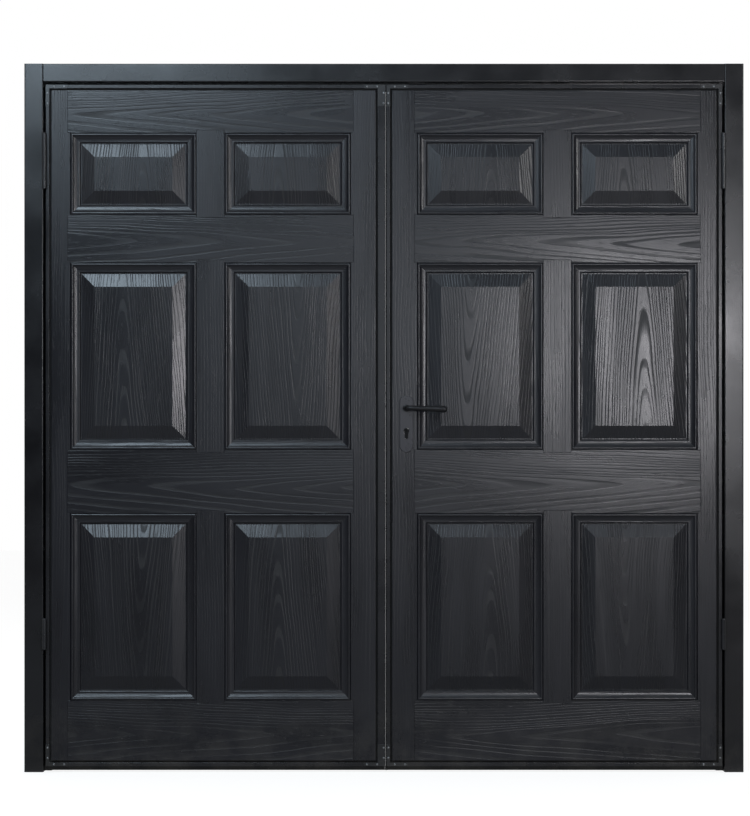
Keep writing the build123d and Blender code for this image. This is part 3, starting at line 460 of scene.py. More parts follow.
@dataclass(frozen=True)
class BakedCoat(Finish):
    """Powder coat on steel or cast metal, rubbed along its edges."""

    peel: float = 700.0
    peel_depth: float = 0.00002
    edge_radius: float = 0.0012
    wear: float = 0.5
    worn: tuple[float, float, float] = (0.11, 0.115, 0.12)
    dust: float = 0.4

    def surface(self, t: Tree, shader: bpy.types.Node, effects: Effects, where: Socket) -> None:
        """Wire the coat: peel, broad changes of gloss, rubbed edges and dust.

        Args:
            t: the material's tree.
            shader: the Principled BSDF.
            effects: the shared node groups.
            where: the object's coordinates.
        """
        coat = t.place(effects.powder, Vector=where, Peel_Scale=self.peel)
        wear = t.place(effects.wear, Vector=where, Radius=self.edge_radius, Amount=self.wear)
        dust = t.place(effects.dust, Vector=where, Amount=self.dust)
        gloss = coat.outputs["Gloss"]
        deeper = tuple(0.72 * part for part in self.colour)
        colour = t.blend(t.span(gloss, 0.3, 0.7), deeper, self.colour)
        colour = t.blend(wear.outputs["Mask"], colour, self.worn)
        colour = t.blend(dust.outputs["Mask"], colour, (0.16, 0.145, 0.12))
        t.feed(shader.inputs["Base Color"], colour)
        rough = t.span(gloss, 0.25, 0.75, self.roughness - 0.06, self.roughness + 0.06)
        rough = t.math("ADD", rough, t.math("MULTIPLY", dust.outputs["Mask"], 0.35), clamp=True)
        t.feed(shader.inputs["Roughness"], rough)
        self.raise_bump(t, shader, coat.outputs["Height"], self.peel_depth, wear.outputs["Normal"])


@dataclass(frozen=True)
class GrainedSkin(Finish):
    """Self-coloured glass-fibre skin with wood grain pressed into it."""

    figure: str = "grain"

    def surface(self, t: Tree, shader: bpy.types.Node, effects: Effects, where: Socket) -> None:
        """Wire the grain, which follows the skin's own map, so that it turns with each member.

        Args:
            t: the material's tree.
            shader: the Principled BSDF.
            effects: the shared node groups.
            where: the object's coordinates.
        """
        along = t.add("UVMap", uv_map=self.figure).outputs[0]
        seed = t.add("Attribute", attribute_name="member_seed").outputs["Fac"]
        arches = t.add("Attribute", attribute_name="figured").outputs["Fac"]
        grain = t.place(effects.grain, Vector=along, Seed=seed, Cathedral=arches)
        dust = t.place(effects.dust, Vector=where, Amount=0.35)
        tone = t.span(grain.outputs["Tone"], 0.3, 0.7)
        colour = t.blend(tone, tuple(0.7 * part for part in self.colour), self.colour)
        hollow = t.math("MAXIMUM", grain.outputs["Pores"], t.math("MULTIPLY", grain.outputs["Rings"], 0.85))
        colour = t.blend(hollow, colour, tuple(0.3 * part for part in self.colour))
        colour = t.blend(dust.outputs["Mask"], colour, (0.15, 0.14, 0.12))
        t.feed(shader.inputs["Base Color"], colour)
        rough = t.span(grain.outputs["Tone"], 0.2, 0.8, self.roughness - 0.05, self.roughness + 0.05)
        rough = t.math("ADD", rough, t.math("MULTIPLY", hollow, 0.3))
        rough = t.math("ADD", rough, t.math("MULTIPLY", dust.outputs["Mask"], 0.3), clamp=True)
        t.feed(shader.inputs["Roughness"], rough)
        self.raise_bump(t, shader, grain.outputs["Height"], MM)


@dataclass(frozen=True)
class RawLaminate(Finish):
    """The bare inner side of the skin: chopped strands under resin."""

    def surface(self, t: Tree, shader: bpy.types.Node, effects: Effects, where: Socket) -> None:
        """Wire the strands as stretched noise in three directions.

        Args:
            t: the material's tree.
            shader: the Principled BSDF.
            effects: the shared node groups.
            where: the object's coordinates.
        """
        x, _, z = t.split(where)
        strands: Socket | None = None
        for degrees in (15.0, 73.0, 131.0):
            turn = math.radians(degrees)
            u = t.math("ADD", t.math("MULTIPLY", x, math.cos(turn)), t.math("MULTIPLY", z, math.sin(turn)))
            v = t.math("SUBTRACT", t.math("MULTIPLY", z, math.cos(turn)), t.math("MULTIPLY", x, math.sin(turn)))
            lay = t.join(t.math("MULTIPLY", u, 520.0), t.math("MULTIPLY", v, 28.0), degrees)
            one = t.span(t.noise(lay, 1.0, 1.0), 0.56, 0.68)
            strands = one if strands is None else t.math("MAXIMUM", strands, one)
        cloud = t.noise(where, 9.0, 4.0)
        colour = t.blend(t.span(cloud, 0.3, 0.7), tuple(0.8 * part for part in self.colour), self.colour)
        t.feed(shader.inputs["Base Color"], t.blend(t.math("MULTIPLY", strands, 0.5), colour, (0.2, 0.21, 0.2)))
        t.feed(shader.inputs["Roughness"], t.span(strands, 0.0, 1.0, self.roughness, self.roughness + 0.2))
        self.raise_bump(t, shader, strands, 0.00025)


@dataclass(frozen=True)
class Rubber(Finish):
    """Black seal rubber with the faint lines of its extrusion and some bloom."""

    def surface(self, t: Tree, shader: bpy.types.Node, effects: Effects, where: Socket) -> None:
        """Wire the bloom, the lines and the dust.

        Args:
            t: the material's tree.
            shader: the Principled BSDF.
            effects: the shared node groups.
            where: the object's coordinates.
        """
        bloom = t.span(t.noise(where, 35.0, 5.0, 0.7), 0.4, 0.8, 0.0, 0.6)
        dust = t.place(effects.dust, Vector=where, Amount=0.5)
        colour = t.blend(bloom, self.colour, tuple(2.2 * part for part in self.colour))
        t.feed(shader.inputs["Base Color"], t.blend(dust.outputs["Mask"], colour, (0.13, 0.12, 0.1)))
        t.feed(shader.inputs["Roughness"], t.span(bloom, 0.0, 0.6, self.roughness, self.roughness + 0.12))
        _, y, _ = t.split(where)
        lines = t.noise(t.join(0.0, t.math("MULTIPLY", y, 1800.0), 0.0), 1.0, 1.0)
        self.raise_bump(t, shader, lines, 0.00004)


@dataclass(frozen=True)
class MouldedPlastic(Finish):
    """Moulded black plastic with a fine spark-eroded texture."""

    def surface(self, t: Tree, shader: bpy.types.Node, effects: Effects, where: Socket) -> None:
        """Wire the texture and rubbed edges.

        Args:
            t: the material's tree.
            shader: the Principled BSDF.
            effects: the shared node groups.
            where: the object's coordinates.
        """
        wear = t.place(effects.wear, Vector=where, Radius=0.0006, Amount=0.35)
        texture = t.noise(where, 1600.0, 2.0, 0.6)
        colour = t.blend(wear.outputs["Mask"], self.colour, tuple(2.5 * part for part in self.colour))
        t.feed(shader.inputs["Base Color"], colour)
        t.feed(shader.inputs["Roughness"], t.span(texture, 0.3, 0.7, self.roughness - 0.05, self.roughness + 0.08))
        self.raise_bump(t, shader, texture, 0.00003, wear.outputs["Normal"])


@dataclass(frozen=True)
class Plated(Finish):
    """Plated metal: zinc crystals and drawing lines, rubbed brighter on its edges."""

    bright: tuple[float, float, float] = (0.8, 0.8, 0.78)
    line_depth: float = 0.000015

    def surface(self, t: Tree, shader: bpy.types.Node, effects: Effects, where: Socket) -> None:
        """Wire the plating.

        Args:
            t: the material's tree.
            shader: the Principled BSDF.
            effects: the shared node groups.
            where: the object's coordinates.
        """
        plate = t.place(effects.zinc, Vector=where)
        wear = t.place(effects.wear, Vector=where, Radius=0.0005, Amount=0.8)
        tone = plate.outputs["Tone"]
        colour = t.blend(tone, tuple(0.82 * part for part in self.colour), self.colour)
        t.feed(shader.inputs["Base Color"], t.blend(wear.outputs["Mask"], colour, self.bright))
        t.feed(shader.inputs["Roughness"], t.span(tone, 0.0, 1.0, self.roughness - 0.05, self.roughness + 0.07))
        self.raise_bump(t, shader, plate.outputs["Height"], self.line_depth, wear.outputs["Normal"])


class Finishes:
    """Every finish of the door, made once."""

    def __init__(self, effects: Effects) -> None:
        """Make the materials.

        Args:
            effects: the shared node groups.
        """
        black = (0.0036, 0.0036, 0.005)
        self.frame = BakedCoat("frame_black_coat", black, 0.25, wear=0.4, dust=0.25).make(effects)
        self.chassis = BakedCoat(
            "chassis_black_coat", (0.009, 0.009, 0.011), 0.27, specular=0.42, edge_radius=0.0006, wear=0.2
        ).make(effects)
        self.cleat = BakedCoat("cleat_grey_coat", (0.013, 0.0135, 0.015), 0.32, wear=0.7).make(effects)
        self.hinge = BakedCoat(
            "hinge_black_coat", (0.012, 0.0125, 0.015), 0.26, peel_depth=0.00001, edge_radius=0.0018, wear=0.5
        ).make(effects)
        self.skin = GrainedSkin("grained_skin_black", (0.0062, 0.0064, 0.0096), 0.28).make(effects)
        self.laminate = RawLaminate("raw_laminate_back", (0.075, 0.082, 0.08), 0.42).make(effects)
        self.rubber = Rubber("seal_rubber_black", (0.007, 0.007, 0.0072), 0.75, specular=0.2).make(effects)
        self.plastic = MouldedPlastic("plastic_black", (0.014, 0.014, 0.0145), 0.48).make(effects)
        self.furniture = BakedCoat(
            "furniture_satin_black", (0.023, 0.0225, 0.028), 0.3, peel=1100.0, peel_depth=0.000008,
            edge_radius=0.0008, wear=0.15, dust=0.1
        ).make(effects)
        self.lever = BakedCoat(
            "lever_satin_black", (0.0045, 0.0045, 0.0055), 0.3, specular=0.3, peel=1100.0, peel_depth=0.000008,
            edge_radius=0.0008, wear=0.15, dust=0.1
        ).make(effects)
        # The cylinder's near-black colour and very low specular are partly its black finish and partly painted shade,
        # standing in for the deep shade in the backplate's opening.
        self.cylinder = Plated(
            "cylinder_black_nickel_and_painted_shade", (0.004, 0.004, 0.0045), 0.4, specular=0.1, bright=(0.05, 0.05, 0.05)
        ).make(effects)
        self.dark_zinc = Plated(
            "zinc_black_passivated", (0.016, 0.0165, 0.018), 0.4, 0.3, bright=(0.25, 0.25, 0.25)
        ).make(effects)
        self.zinc = Plated("zinc_plated_steel", (0.5, 0.51, 0.5), 0.36, 0.95).make(effects)
        self.rivet = Plated("rivet_dull_steel", (0.2, 0.205, 0.21), 0.34, 0.9, bright=(0.62, 0.62, 0.62)).make(effects)


# Mesh helpers


def finish_piece(
    bm: bmesh.types.BMesh, name: str, materials: Iterable[bpy.types.Material], weighted: bool = False
) -> bpy.types.Object:
    """Turn a bmesh into an object at the origin.

    Args:
        bm: the bmesh, in metres, which is freed.
        name: the piece's name.
        materials: its materials in slot order.
        weighted: keep large flats flat beside small smooth faces.

    Returns:
        The linked object.
    """
    mesh = bpy.data.meshes.new(name)
    bm.to_mesh(mesh)
    bm.free()
    for material in materials:
        mesh.materials.append(material)
    piece = bpy.data.objects.new(name, mesh)
    bpy.context.scene.collection.objects.link(piece)
    if weighted:
        modifier = piece.modifiers.new("flat_faces", "WEIGHTED_NORMAL")
        modifier.keep_sharp = True
        modifier.weight = 100
    return piece


def arc_steps(start: Point, middle: Point, end: Point, count: int) -> list[Point]:
    """Points on the arc through three points, after its start.

    Args:
        start: where the arc starts.
        middle: a point on it.
        end: where it ends.
        count: how many points.

    Returns:
        The points, the last of them the end.
    """
    (ax, ay), (bx, by), (cx, cy) = start, middle, end
    twice = 2 * (ax * (by - cy) + bx * (cy - ay) + cx * (ay - by))
    sums = [x * x + y * y for x, y in (start, middle, end)]
    ox = (sums[0] * (by - cy) + sums[1] * (cy - ay) + sums[2] * (ay - by)) / twice
    oy = (sums[0] * (cx - bx) + sums[1] * (ax - cx) + sums[2] * (bx - ax)) / twice
    turns = [math.atan2(y - oy, x - ox) for x, y in (start, middle, end)]
    whole = (turns[2] - turns[0]) % math.tau
    if (turns[1] - turns[0]) % math.tau > whole:
        whole -= math.tau
    radius = math.hypot(ax - ox, ay - oy)
    made = [turns[0] + whole * step / count for step in range(1, count + 1)]
    return [(ox + radius * math.cos(turn), oy + radius * math.sin(turn)) for turn in made]


def lathe(bm: bmesh.types.BMesh, profile: Sequence[Point], place: Matrix, steps: int) -> list[bmesh.types.BMVert]:
    """Spin a profile about its own axis.

    Args:
        bm: the bmesh to add to.
        profile: (radius, height) points in metres; a radius of 0 closes the shape.
        place: where the shape's Z axis goes.
        steps: faces round it.

    Returns:
        The shape's vertices.
    """
    before = set(bm.verts)
    line = [bm.verts.new((radius, 0.0, height)) for radius, height in profile]
    edges = [bm.edges.new(pair) for pair in zip(line, line[1:], strict=False)]
    bmesh.ops.spin(
        bm, geom=line + edges, cent=(0, 0, 0), axis=(0, 0, 1), angle=math.tau, steps=steps, use_merge=True
    )
    made = [vert for vert in bm.verts if vert not in before]
    bmesh.ops.remove_doubles(bm, verts=made, dist=1e-7)
    made = [vert for vert in bm.verts if vert not in before]
    faces = list({face for vert in made for face in vert.link_faces})
    bmesh.ops.recalc_face_normals(bm, faces=faces)
    for face in faces:
        face.smooth = True
    for edge in {edge for vert in made for edge in vert.link_edges}:
        edge.smooth = edge.calc_face_angle(0.0) < math.radians(40)
    bmesh.ops.transform(bm, matrix=place, verts=made)
    return made


def facing(direction: str, x: float, y: float, z: float) -> Matrix:
    """A matrix that turns Z to a direction and moves to a place in metres.

    Args:
        direction: one of "-y", "+y", "-x", "+x", "-z".
        x: the place's X.
        y: the place's Y.
        z: the place's Z.

    Returns:
        The matrix.
    """
    turns = {
        "-y": Matrix.Rotation(math.radians(90), 4, "X"),
        "+y": Matrix.Rotation(math.radians(-90), 4, "X"),
        "-x": Matrix.Rotation(math.radians(-90), 4, "Y"),
        "+x": Matrix.Rotation(math.radians(90), 4, "Y"),
        "-z": Matrix.Rotation(math.radians(180), 4, "X"),
    }
    return Matrix.Translation((x, y, z)) @ turns[direction]


def dress(material: bpy.types.Material, *names: str) -> None:
    """Give CAD nodes a material through their slots.

    Args:
        material: the material.
        names: the nodes.
    """
    for name in names:
        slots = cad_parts[name].material_slots
        for slot in slots:
            slot.material = material


# Fasteners


@dataclass
class Fastener:
    """A small head that stands on a face: a rivet's dome or a screw's."""

    radius: float = 3.6
    height: float = 1.7
    recess: Recess = Recess.PLAIN
    recess_radius: float = 1.9
    recess_depth: float = 1.2
    segments: int = 18

    def add(self, bm: bmesh.types.BMesh, place: Matrix) -> None:
        """Add the head.

        Args:
            bm: the bmesh to add to.
            place: its foot's middle, with Z away from the face.
        """
        rim = 0.25 * self.height
        dome = arc_steps(
            (self.radius, rim), (0.72 * self.radius, 0.8 * self.height), (0.001, self.height), 5
        )
        outline = [(0.0, 0.0), (self.radius, 0.0), (self.radius, rim), *dome[:-1]]
        if self.recess is Recess.SOCKET:
            top = dome[-2][1]
            outline = outline[:-1] + [
                (self.recess_radius * 1.25, self.height * 0.97),
                (self.recess_radius, self.height * 0.95),
                (self.recess_radius * 0.96, top - self.recess_depth),
                (0.0, top - self.recess_depth - 0.25),
            ]
        else:
            outline.append((0.0, self.height))
        made = lathe(bm, [(r * MM, h * MM) for r, h in outline], Matrix.Identity(4), self.segments)
        if self.recess is Recess.SOCKET:
            self._make_hexagon(made)
        bmesh.ops.transform(bm, matrix=place, verts=made)

    def _make_hexagon(self, verts: Iterable[bmesh.types.BMVert]) -> None:
        """Push the walls of the recess in to six flats.

        Args:
            verts: the head's vertices, about its own axis.
        """
        half = math.radians(30)
        for vert in verts:
            out = math.hypot(vert.co.x, vert.co.y)
            if MM * 0.5 < out < self.recess_radius * 1.02 * MM:
                turn = math.atan2(vert.co.y, vert.co.x) % (2 * half) - half
                share = math.cos(half) / math.cos(turn)
                vert.co.x *= share
                vert.co.y *= share


@dataclass
class FastenerSet:
    """Heads of one kind that ride on one body."""

    name: str
    body: str
    slot: str
    head: Fastener
    places: list[Matrix]

    def build(self, material: bpy.types.Material) -> bpy.types.Object:
        """Build the set as one piece.

        Args:
            material: the heads' finish.

        Returns:
            The piece.
        """
        bm = bmesh.new()
        for place in self.places:
            self.head.add(bm, place)
        piece = finish_piece(bm, self.name, [material])
        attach(piece, self.body)
        log.info("%s: %d heads on %s", self.name, len(self.places), self.body)
        return piece


# Skins


@dataclass(frozen=True)
class Member:
    """A board of the panelled door that the skin imitates."""

    key: str
    middle_x: float
    middle_z: float
    upright: bool
    figured: float = 0.0


@dataclass
class MouldedSkin:
    """The skin of a leaf: a tray with six raised and fielded panels and grain on every member."""

    side: Side
    thickness: float = 3.0
    turn_back: float = 18.0
    edge_radius: float = 1.5
    hinge_margin: float = 59.0
    meeting_margin: float = 78.0
    muntin: float = 87.0
    top_margin: float = 132.5
    upper_rail: float = 149.0
    middle_rail: float = 198.0
    bottom_margin: float = 188.0
    top_field: float = 258.0
    quirk: Point = (1.5, 3.0)
    bead: Point = (9.0, 3.0)
    step: Point = (1.5, 1.0)
    cove: Point = (16.0, 4.0)
    cove_sag: float = 1.3
    drop: Point = (5.0, 6.0)
    drop_bulge: float = 2.0
    channel: float = 3.0
    bevel: Point = (40.0, 11.0)
    joint_offset: float = 8.0
    joint_half: float = 0.7
    joint_depth: float = 0.6
    lock_x: float = 70.5
    hub_height: float = 1141.0
    hub_half: float = 11.0
    cylinder_half: float = 9.5
    cylinder_span: Point = (1043.5, 1078.5)
    heart_drift: float = 30.0
    hanging_arches: tuple[str, ...] = ("01", "12")
    rail_figure: float = 0.7

    def __post_init__(self) -> None:
        """Read the CAD skin's place, as millimetres on the right-hand side."""
        low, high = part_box("right_panel")
        self.left, self.front, self.bottom = (part / MM for part in low)
        self.right, _, self.top = (part / MM for part in high)
        width = (self.right - self.left - self.hinge_margin - self.meeting_margin - self.muntin) / 2
        first = self.left + self.meeting_margin
        self.columns = [(first, first + width), (first + width + self.muntin, first + 2 * width + self.muntin)]
        top = self.top - self.top_margin
        tall = top - self.top_field - self.upper_rail - self.middle_rail - self.bottom - self.bottom_margin
        self.rows = []
        for height, below in ((self.top_field, self.upper_rail), (tall / 2, self.middle_rail), (tall / 2, 0.0)):
            self.rows.append((top - height, top))
            top -= height + below

    @property
    def moulding(self) -> float:
        """Width of the applied moulding, from the opening's edge to the channel."""
        return self.quirk[0] + self.bead[0] + self.step[0] + self.cove[0] + self.drop[0]

    def profile(self) -> list[tuple[list[Point], bool]]:
        """The moulding's front line from the opening's edge inward.

        Returns:
            Runs of (inward, depth) points, each with whether it is an arc.
        """
        at = self.quirk
        runs = [([at], False)]
        end = (at[0] + self.bead[0], at[1])
        crown = ((at[0] + end[0]) / 2, at[1] - self.bead[1])
        runs.append((arc_steps(at, crown, end, 9), True))
        at = (end[0] + self.step[0], end[1] + self.step[1])
        runs.append(([at], False))
        end = (at[0] + self.cove[0], at[1] + self.cove[1])
        sag = ((at[0] + end[0]) / 2, (at[1] + end[1]) / 2 + self.cove_sag)
        runs.append((arc_steps(at, sag, end, 7), True))
        at = (end[0] + self.drop[0], end[1] + self.drop[1])
        bulge = (end[0] + 0.6 * self.drop[0], (end[1] + at[1]) / 2 - self.drop_bulge / 2)
        runs.append((arc_steps(end, bulge, at, 6), True))
        end = (at[0] + self.channel, at[1])
        runs.append(([end], False))
        runs.append(([(end[0] + self.bevel[0], end[1] - self.bevel[1])], False))
        return runs

    def build(self, finishes: Finishes, seed: int) -> bpy.types.Object:
        """Build the skin, and hide the CAD one.

        Args:
            finishes: the materials.
            seed: the start of its members' seeds.

        Returns:
            The piece.
        """
        bm = bmesh.new()
        self._lay_sheet(bm)
        self._sink_fields(bm)
        self._groove_joints(bm)
        if self.side is Side.RIGHT:
            self._cut_for_lock(bm)
        self._thicken(bm)
        self._lay_grain(bm, seed)
        bmesh.ops.scale(bm, vec=(MM * self.side.value, MM, MM), verts=bm.verts)
        bmesh.ops.recalc_face_normals(bm, faces=bm.faces)
        name = f"{self.side.word}_moulded_skin"
        piece = finish_piece(bm, name, [finishes.skin, finishes.laminate], weighted=True)
        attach(piece, f"{self.side.word}_leaf")
        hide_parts(f"{self.side.word}_panel")
        log.info("%s: %d faces", name, len(piece.data.polygons))
        return piece

    def _lay_sheet(self, bm: bmesh.types.BMesh) -> None:
        """Lay a flat sheet and cut it along every member.

        Args:
            bm: an empty bmesh.
        """
        bmesh.ops.create_grid(bm, x_segments=1, y_segments=1, size=0.5)
        middle = ((self.left + self.right) / 2, self.front, (self.bottom + self.top) / 2)
        size = Matrix.Diagonal((self.right - self.left, self.top - self.bottom, 1.0, 1.0))
        place = Matrix.Translation(middle) @ Matrix.Rotation(math.radians(90), 4, "X") @ size
        bmesh.ops.transform(bm, matrix=place, verts=bm.verts)
        (first_left, first_right), (last_left, last_right) = self.columns
        off = self.joint_offset
        xs = [self.left + self.thickness, first_left - off, first_left, first_right]
        xs += [last_left, last_right, last_right + off, self.right - self.thickness]
        zs = [self.bottom + self.thickness, self.top - self.thickness]
        for low, high in self.rows:
            zs += [low - off, low, high, high + off]
        for x in xs:
            self._cut(bm, (x, 0, 0), (1, 0, 0))
        for z in zs:
            self._cut(bm, (0, 0, z), (0, 0, 1))

    @staticmethod
    def _cut(bm: bmesh.types.BMesh, point: Sequence[float], normal: Sequence[float], faces: Iterable[bmesh.types.BMFace] | None = None) -> None:
        """Cut faces along a plane.

        Args:
            bm: the bmesh.
            point: a point of the plane.
            normal: its normal.
            faces: the faces to cut, or None for all.
        """
        chosen = list(bm.faces) if faces is None else list(faces)
        edges = list({edge for face in chosen for edge in face.edges})
        verts = list({vert for face in chosen for vert in face.verts})
        bmesh.ops.bisect_plane(bm, geom=verts + edges + chosen, dist=1e-4, plane_co=point, plane_no=normal)

    def _field_at(self, x: float, z: float) -> tuple[Point, Point] | None:
        """The field that a point lies in.

        Args:
            x: the point's X.
            z: the point's Z.

        Returns:
            The field's column and row, or None.
        """
        for column in self.columns:
            for row in self.rows:
                if column[0] < x < column[1] and row[0] < z < row[1]:
                    return column, row
        return None

    def _member_at(self, x: float, z: float) -> Member:
        """The board that a point of the front lies on.

        Args:
            x: the point's X.
            z: the point's Z.

        Returns:
            The member.
        """
        (first_left, first_right), (last_left, last_right) = self.columns
        off = self.joint_offset
        middle_z = (self.bottom + self.top) / 2
        found = self._field_at(x, z)
        if found:
            column, row = found
            return self._in_field(x, z, column, row)
        beside = any(low < z < high for low, high in self.rows)
        if x < first_left - off or (beside and x < first_left):
            return Member("stile_meeting", (self.left + first_left) / 2, middle_z, True)
        if x > last_right + off or (beside and x > last_right):
            return Member("stile_hinge", (self.right + last_right) / 2, middle_z, True)
        if first_right < x < last_left:
            for number, (low, high) in enumerate(self.rows):
                if low - off < z < high + off:
                    return Member(f"muntin_{number}", (first_right + last_left) / 2, (low + high) / 2, True)
        above = sum(z < low for low, _ in self.rows)
        way = self.rail_figure * (-1) ** above
        return Member(f"rail_{above}", (self.left + self.right) / 2, self._rail_middle(above), False, way)

    def _rail_middle(self, above: int) -> float:
        """Middle height of the rail below a number of rows."""
        bounds = [(self.rows[0][1], self.top)]
        bounds += [(low[1], high[0]) for high, low in zip(self.rows, self.rows[1:], strict=False)]
        bounds.append((self.bottom, self.rows[-1][0]))
        return sum(bounds[above]) / 2

    def _in_field(self, x: float, z: float, column: Point, row: Point) -> Member:
        """The member at a point inside a field's opening: one side of its moulding, or the board.

        Args:
            x: the point's X.
            z: the point's Z.
            column: the field's left and right.
            row: its bottom and top.

        Returns:
            The member.
        """
        key = f"{self.columns.index(column)}{self.rows.index(row)}"
        gaps = {
            "left": (x - column[0], column[0], True),
            "right": (column[1] - x, column[1], True),
            "low": (z - row[0], row[0], False),
            "high": (row[1] - z, row[1], False),
        }
        name, (gap, edge, upright) = min(gaps.items(), key=lambda item: item[1][0])
        middle_x, middle_z = sum(column) / 2, sum(row) / 2
        if gap < self.moulding:
            return Member(f"bead_{key}_{name}", edge if upright else middle_x, middle_z if upright else edge, upright)
        drift = self.heart_drift * (-1) ** (self.columns.index(column) + self.rows.index(row))
        way = -1.0 if key in self.hanging_arches else 1.0
        return Member(f"board_{key}", middle_x + drift, middle_z, True, way)

    def _sink_fields(self, bm: bmesh.types.BMesh) -> None:
        """Work the moulding into each field by insets, from its edge inward.

        Args:
            bm: the bmesh.
        """
        cells = [face for face in bm.faces if self._field_at(*face.calc_center_median().xz)]
        for face in bm.faces:
            face.smooth = True
        for cell in cells:
            at = (0.0, 0.0)
            for points, arc in self.profile():
                for number, point in enumerate(points):
                    bmesh.ops.inset_region(
                        bm, faces=[cell], thickness=point[0] - at[0], depth=at[1] - point[1],
                        use_boundary=True, use_even_offset=True
                    )
                    at = point
                    smooth = arc and number < len(points) - 1
                    for vert in cell.verts:
                        for edge in vert.link_edges:
                            edge.smooth = smooth and edge in cell.edges

    def _groove_joints(self, bm: bmesh.types.BMesh) -> None:
        """Press a fine groove along every joint between two members.

        Args:
            bm: the bmesh.
        """
        joints = []
        for edge in bm.edges:
            if len(edge.link_faces) != 2:
                continue
            centres = [face.calc_center_median() for face in edge.link_faces]
            if any(self._field_at(*centre.xz) for centre in centres):
                continue
            keys = {self._member_at(*centre.xz).key for centre in centres}
            if len(keys) == 2 and self._clear_of_border(edge):
                joints.append(edge)
        lines = [tuple(vert.co.copy() for vert in edge.verts) for edge in joints]
        bmesh.ops.bevel(
            bm, geom=joints, offset=self.joint_half, offset_type="OFFSET", segments=2, profile=0.5,
            affect="EDGES", material=-1, clamp_overlap=True
        )
        for vert in bm.verts:
            if abs(vert.co.y - self.front) < 1e-3 and any(self._on_line(vert.co, *line) for line in lines):
                vert.co.y += self.joint_depth

    def _clear_of_border(self, edge: bmesh.types.BMEdge) -> bool:
        """Whether an edge keeps clear of the sheet's outer strip."""
        middle = (edge.verts[0].co + edge.verts[1].co) / 2
        wide = self.thickness - 0.1
        return self.left + wide < middle.x < self.right - wide and self.bottom + wide < middle.z < self.top - wide

    @staticmethod
    def _on_line(point: Vector, start: Vector, end: Vector) -> bool:
        """Whether a point lies on a joint's line."""
        way = end - start
        share = (point - start).dot(way) / way.length_squared
        return -1e-4 < share < 1.0001 and (start + way * share - point).length < 0.02

    def _cut_for_lock(self, bm: bmesh.types.BMesh) -> None:
        """Cut the openings for the lever's hub and the cylinder, behind the backplate.

        Args:
            bm: the bmesh.
        """
        hub = (self.hub_height - self.hub_half, self.hub_height + self.hub_half)
        for half, (low, high) in ((self.hub_half, hub), (self.cylinder_half, self.cylinder_span)):
            left, right = self.lock_x - half, self.lock_x + half
            for point, normal in (
                ((left, 0, 0), (1, 0, 0)), ((right, 0, 0), (1, 0, 0)), ((0, 0, low), (0, 0, 1)), ((0, 0, high), (0, 0, 1))
            ):
                self._cut(bm, point, normal, self._lock_faces(bm))
            inside = [
                face for face in self._lock_faces(bm)
                if left < face.calc_center_median().x < right and low < face.calc_center_median().z < high
            ]
            bmesh.ops.delete(bm, geom=inside, context="FACES")

    def _lock_faces(self, bm: bmesh.types.BMesh) -> list[bmesh.types.BMFace]:
        """The faces of the stile that carries the lock, near its height."""
        limit = self.columns[0][0] - self.joint_offset
        low, high = self.rows[1]
        return [
            face for face in bm.faces
            if self.left + self.thickness < face.calc_center_median().x < limit
            and low < face.calc_center_median().z < high
        ]

    def _thicken(self, bm: bmesh.types.BMesh) -> None:
        """Give the sheet its thickness, straight back, and turn its border back to the chassis.

        Args:
            bm: the bmesh.
        """
        made = bmesh.ops.extrude_face_region(bm, geom=bm.faces[:], use_keep_orig=True)["geom"]
        backs = [item for item in made if isinstance(item, bmesh.types.BMFace)]
        verts = [item for item in made if isinstance(item, bmesh.types.BMVert)]
        bmesh.ops.translate(bm, vec=(0, self.thickness, 0), verts=verts)
        for face in backs:
            face.material_index = 1
        strips = [face for face in backs if self._in_border(face.calc_center_median())]
        made = bmesh.ops.extrude_face_region(bm, geom=strips)["geom"]
        verts = [item for item in made if isinstance(item, bmesh.types.BMVert)]
        bmesh.ops.translate(bm, vec=(0, self.turn_back - self.thickness, 0), verts=verts)
        bmesh.ops.recalc_face_normals(bm, faces=bm.faces)
        for edge in bm.edges:
            if edge.calc_face_angle(0.0) > math.radians(40):
                edge.smooth = False
        rims = [edge for edge in bm.edges if self._on_rim(edge)]
        bevelled = bmesh.ops.bevel(
            bm, geom=rims, offset=self.edge_radius, offset_type="OFFSET", segments=4, profile=0.5,
            affect="EDGES", material=-1, clamp_overlap=True
        )
        for face in bevelled["faces"]:
            face.smooth = True
            for edge in face.edges:
                edge.smooth = True

    def _in_border(self, point: Vector) -> bool:
        """Whether a point lies over the outer strip."""
        near_x = min(point.x - self.left, self.right - point.x) < self.thickness
        near_z = min(point.z - self.bottom, self.top - point.z) < self.thickness
        return near_x or near_z

    def _on_rim(self, edge: bmesh.types.BMEdge) -> bool:
        """Whether an edge is part of the front's outer rim."""
        ends = [vert.co for vert in edge.verts]
        if any(abs(co.y - self.front) > 1e-3 for co in ends):
            return False
        sides = (("x", self.left), ("x", self.right), ("z", self.bottom), ("z", self.top))
        return any(all(abs(getattr(co, axis) - value) < 1e-3 for co in ends) for axis, value in sides)

    def _lay_grain(self, bm: bmesh.types.BMesh, seed: int) -> None:
        """Write each face's place on its board, the board's seed and its figure.

        Args:
            bm: the bmesh, in millimetres on the right-hand side.
            seed: the start of the seeds.
        """
        seeds = bm.faces.layers.float.new("member_seed")
        figures = bm.faces.layers.float.new("figured")
        chart = bm.loops.layers.uv.new("grain")
        chance: dict[str, float] = {}
        dice = random.Random(seed)
        for face in bm.faces:
            face.normal_update()
            steep = abs(face.normal.y) < 0.5
            centre = face.calc_center_median()
            member = self._member_at(centre.x, centre.z)
            if member.key not in chance:
                chance[member.key] = dice.random()
            face[seeds] = chance[member.key]
            face[figures] = member.figured
            for loop in face.loops:
                co = loop.vert.co
                depth = co.y - self.front if steep else 0.0
                x, z = co.x - member.middle_x, co.z - member.middle_z
                across, along = (x + depth, z) if member.upright else (z + depth, x)
                loop[chart].uv = (across * MM, along * MM)


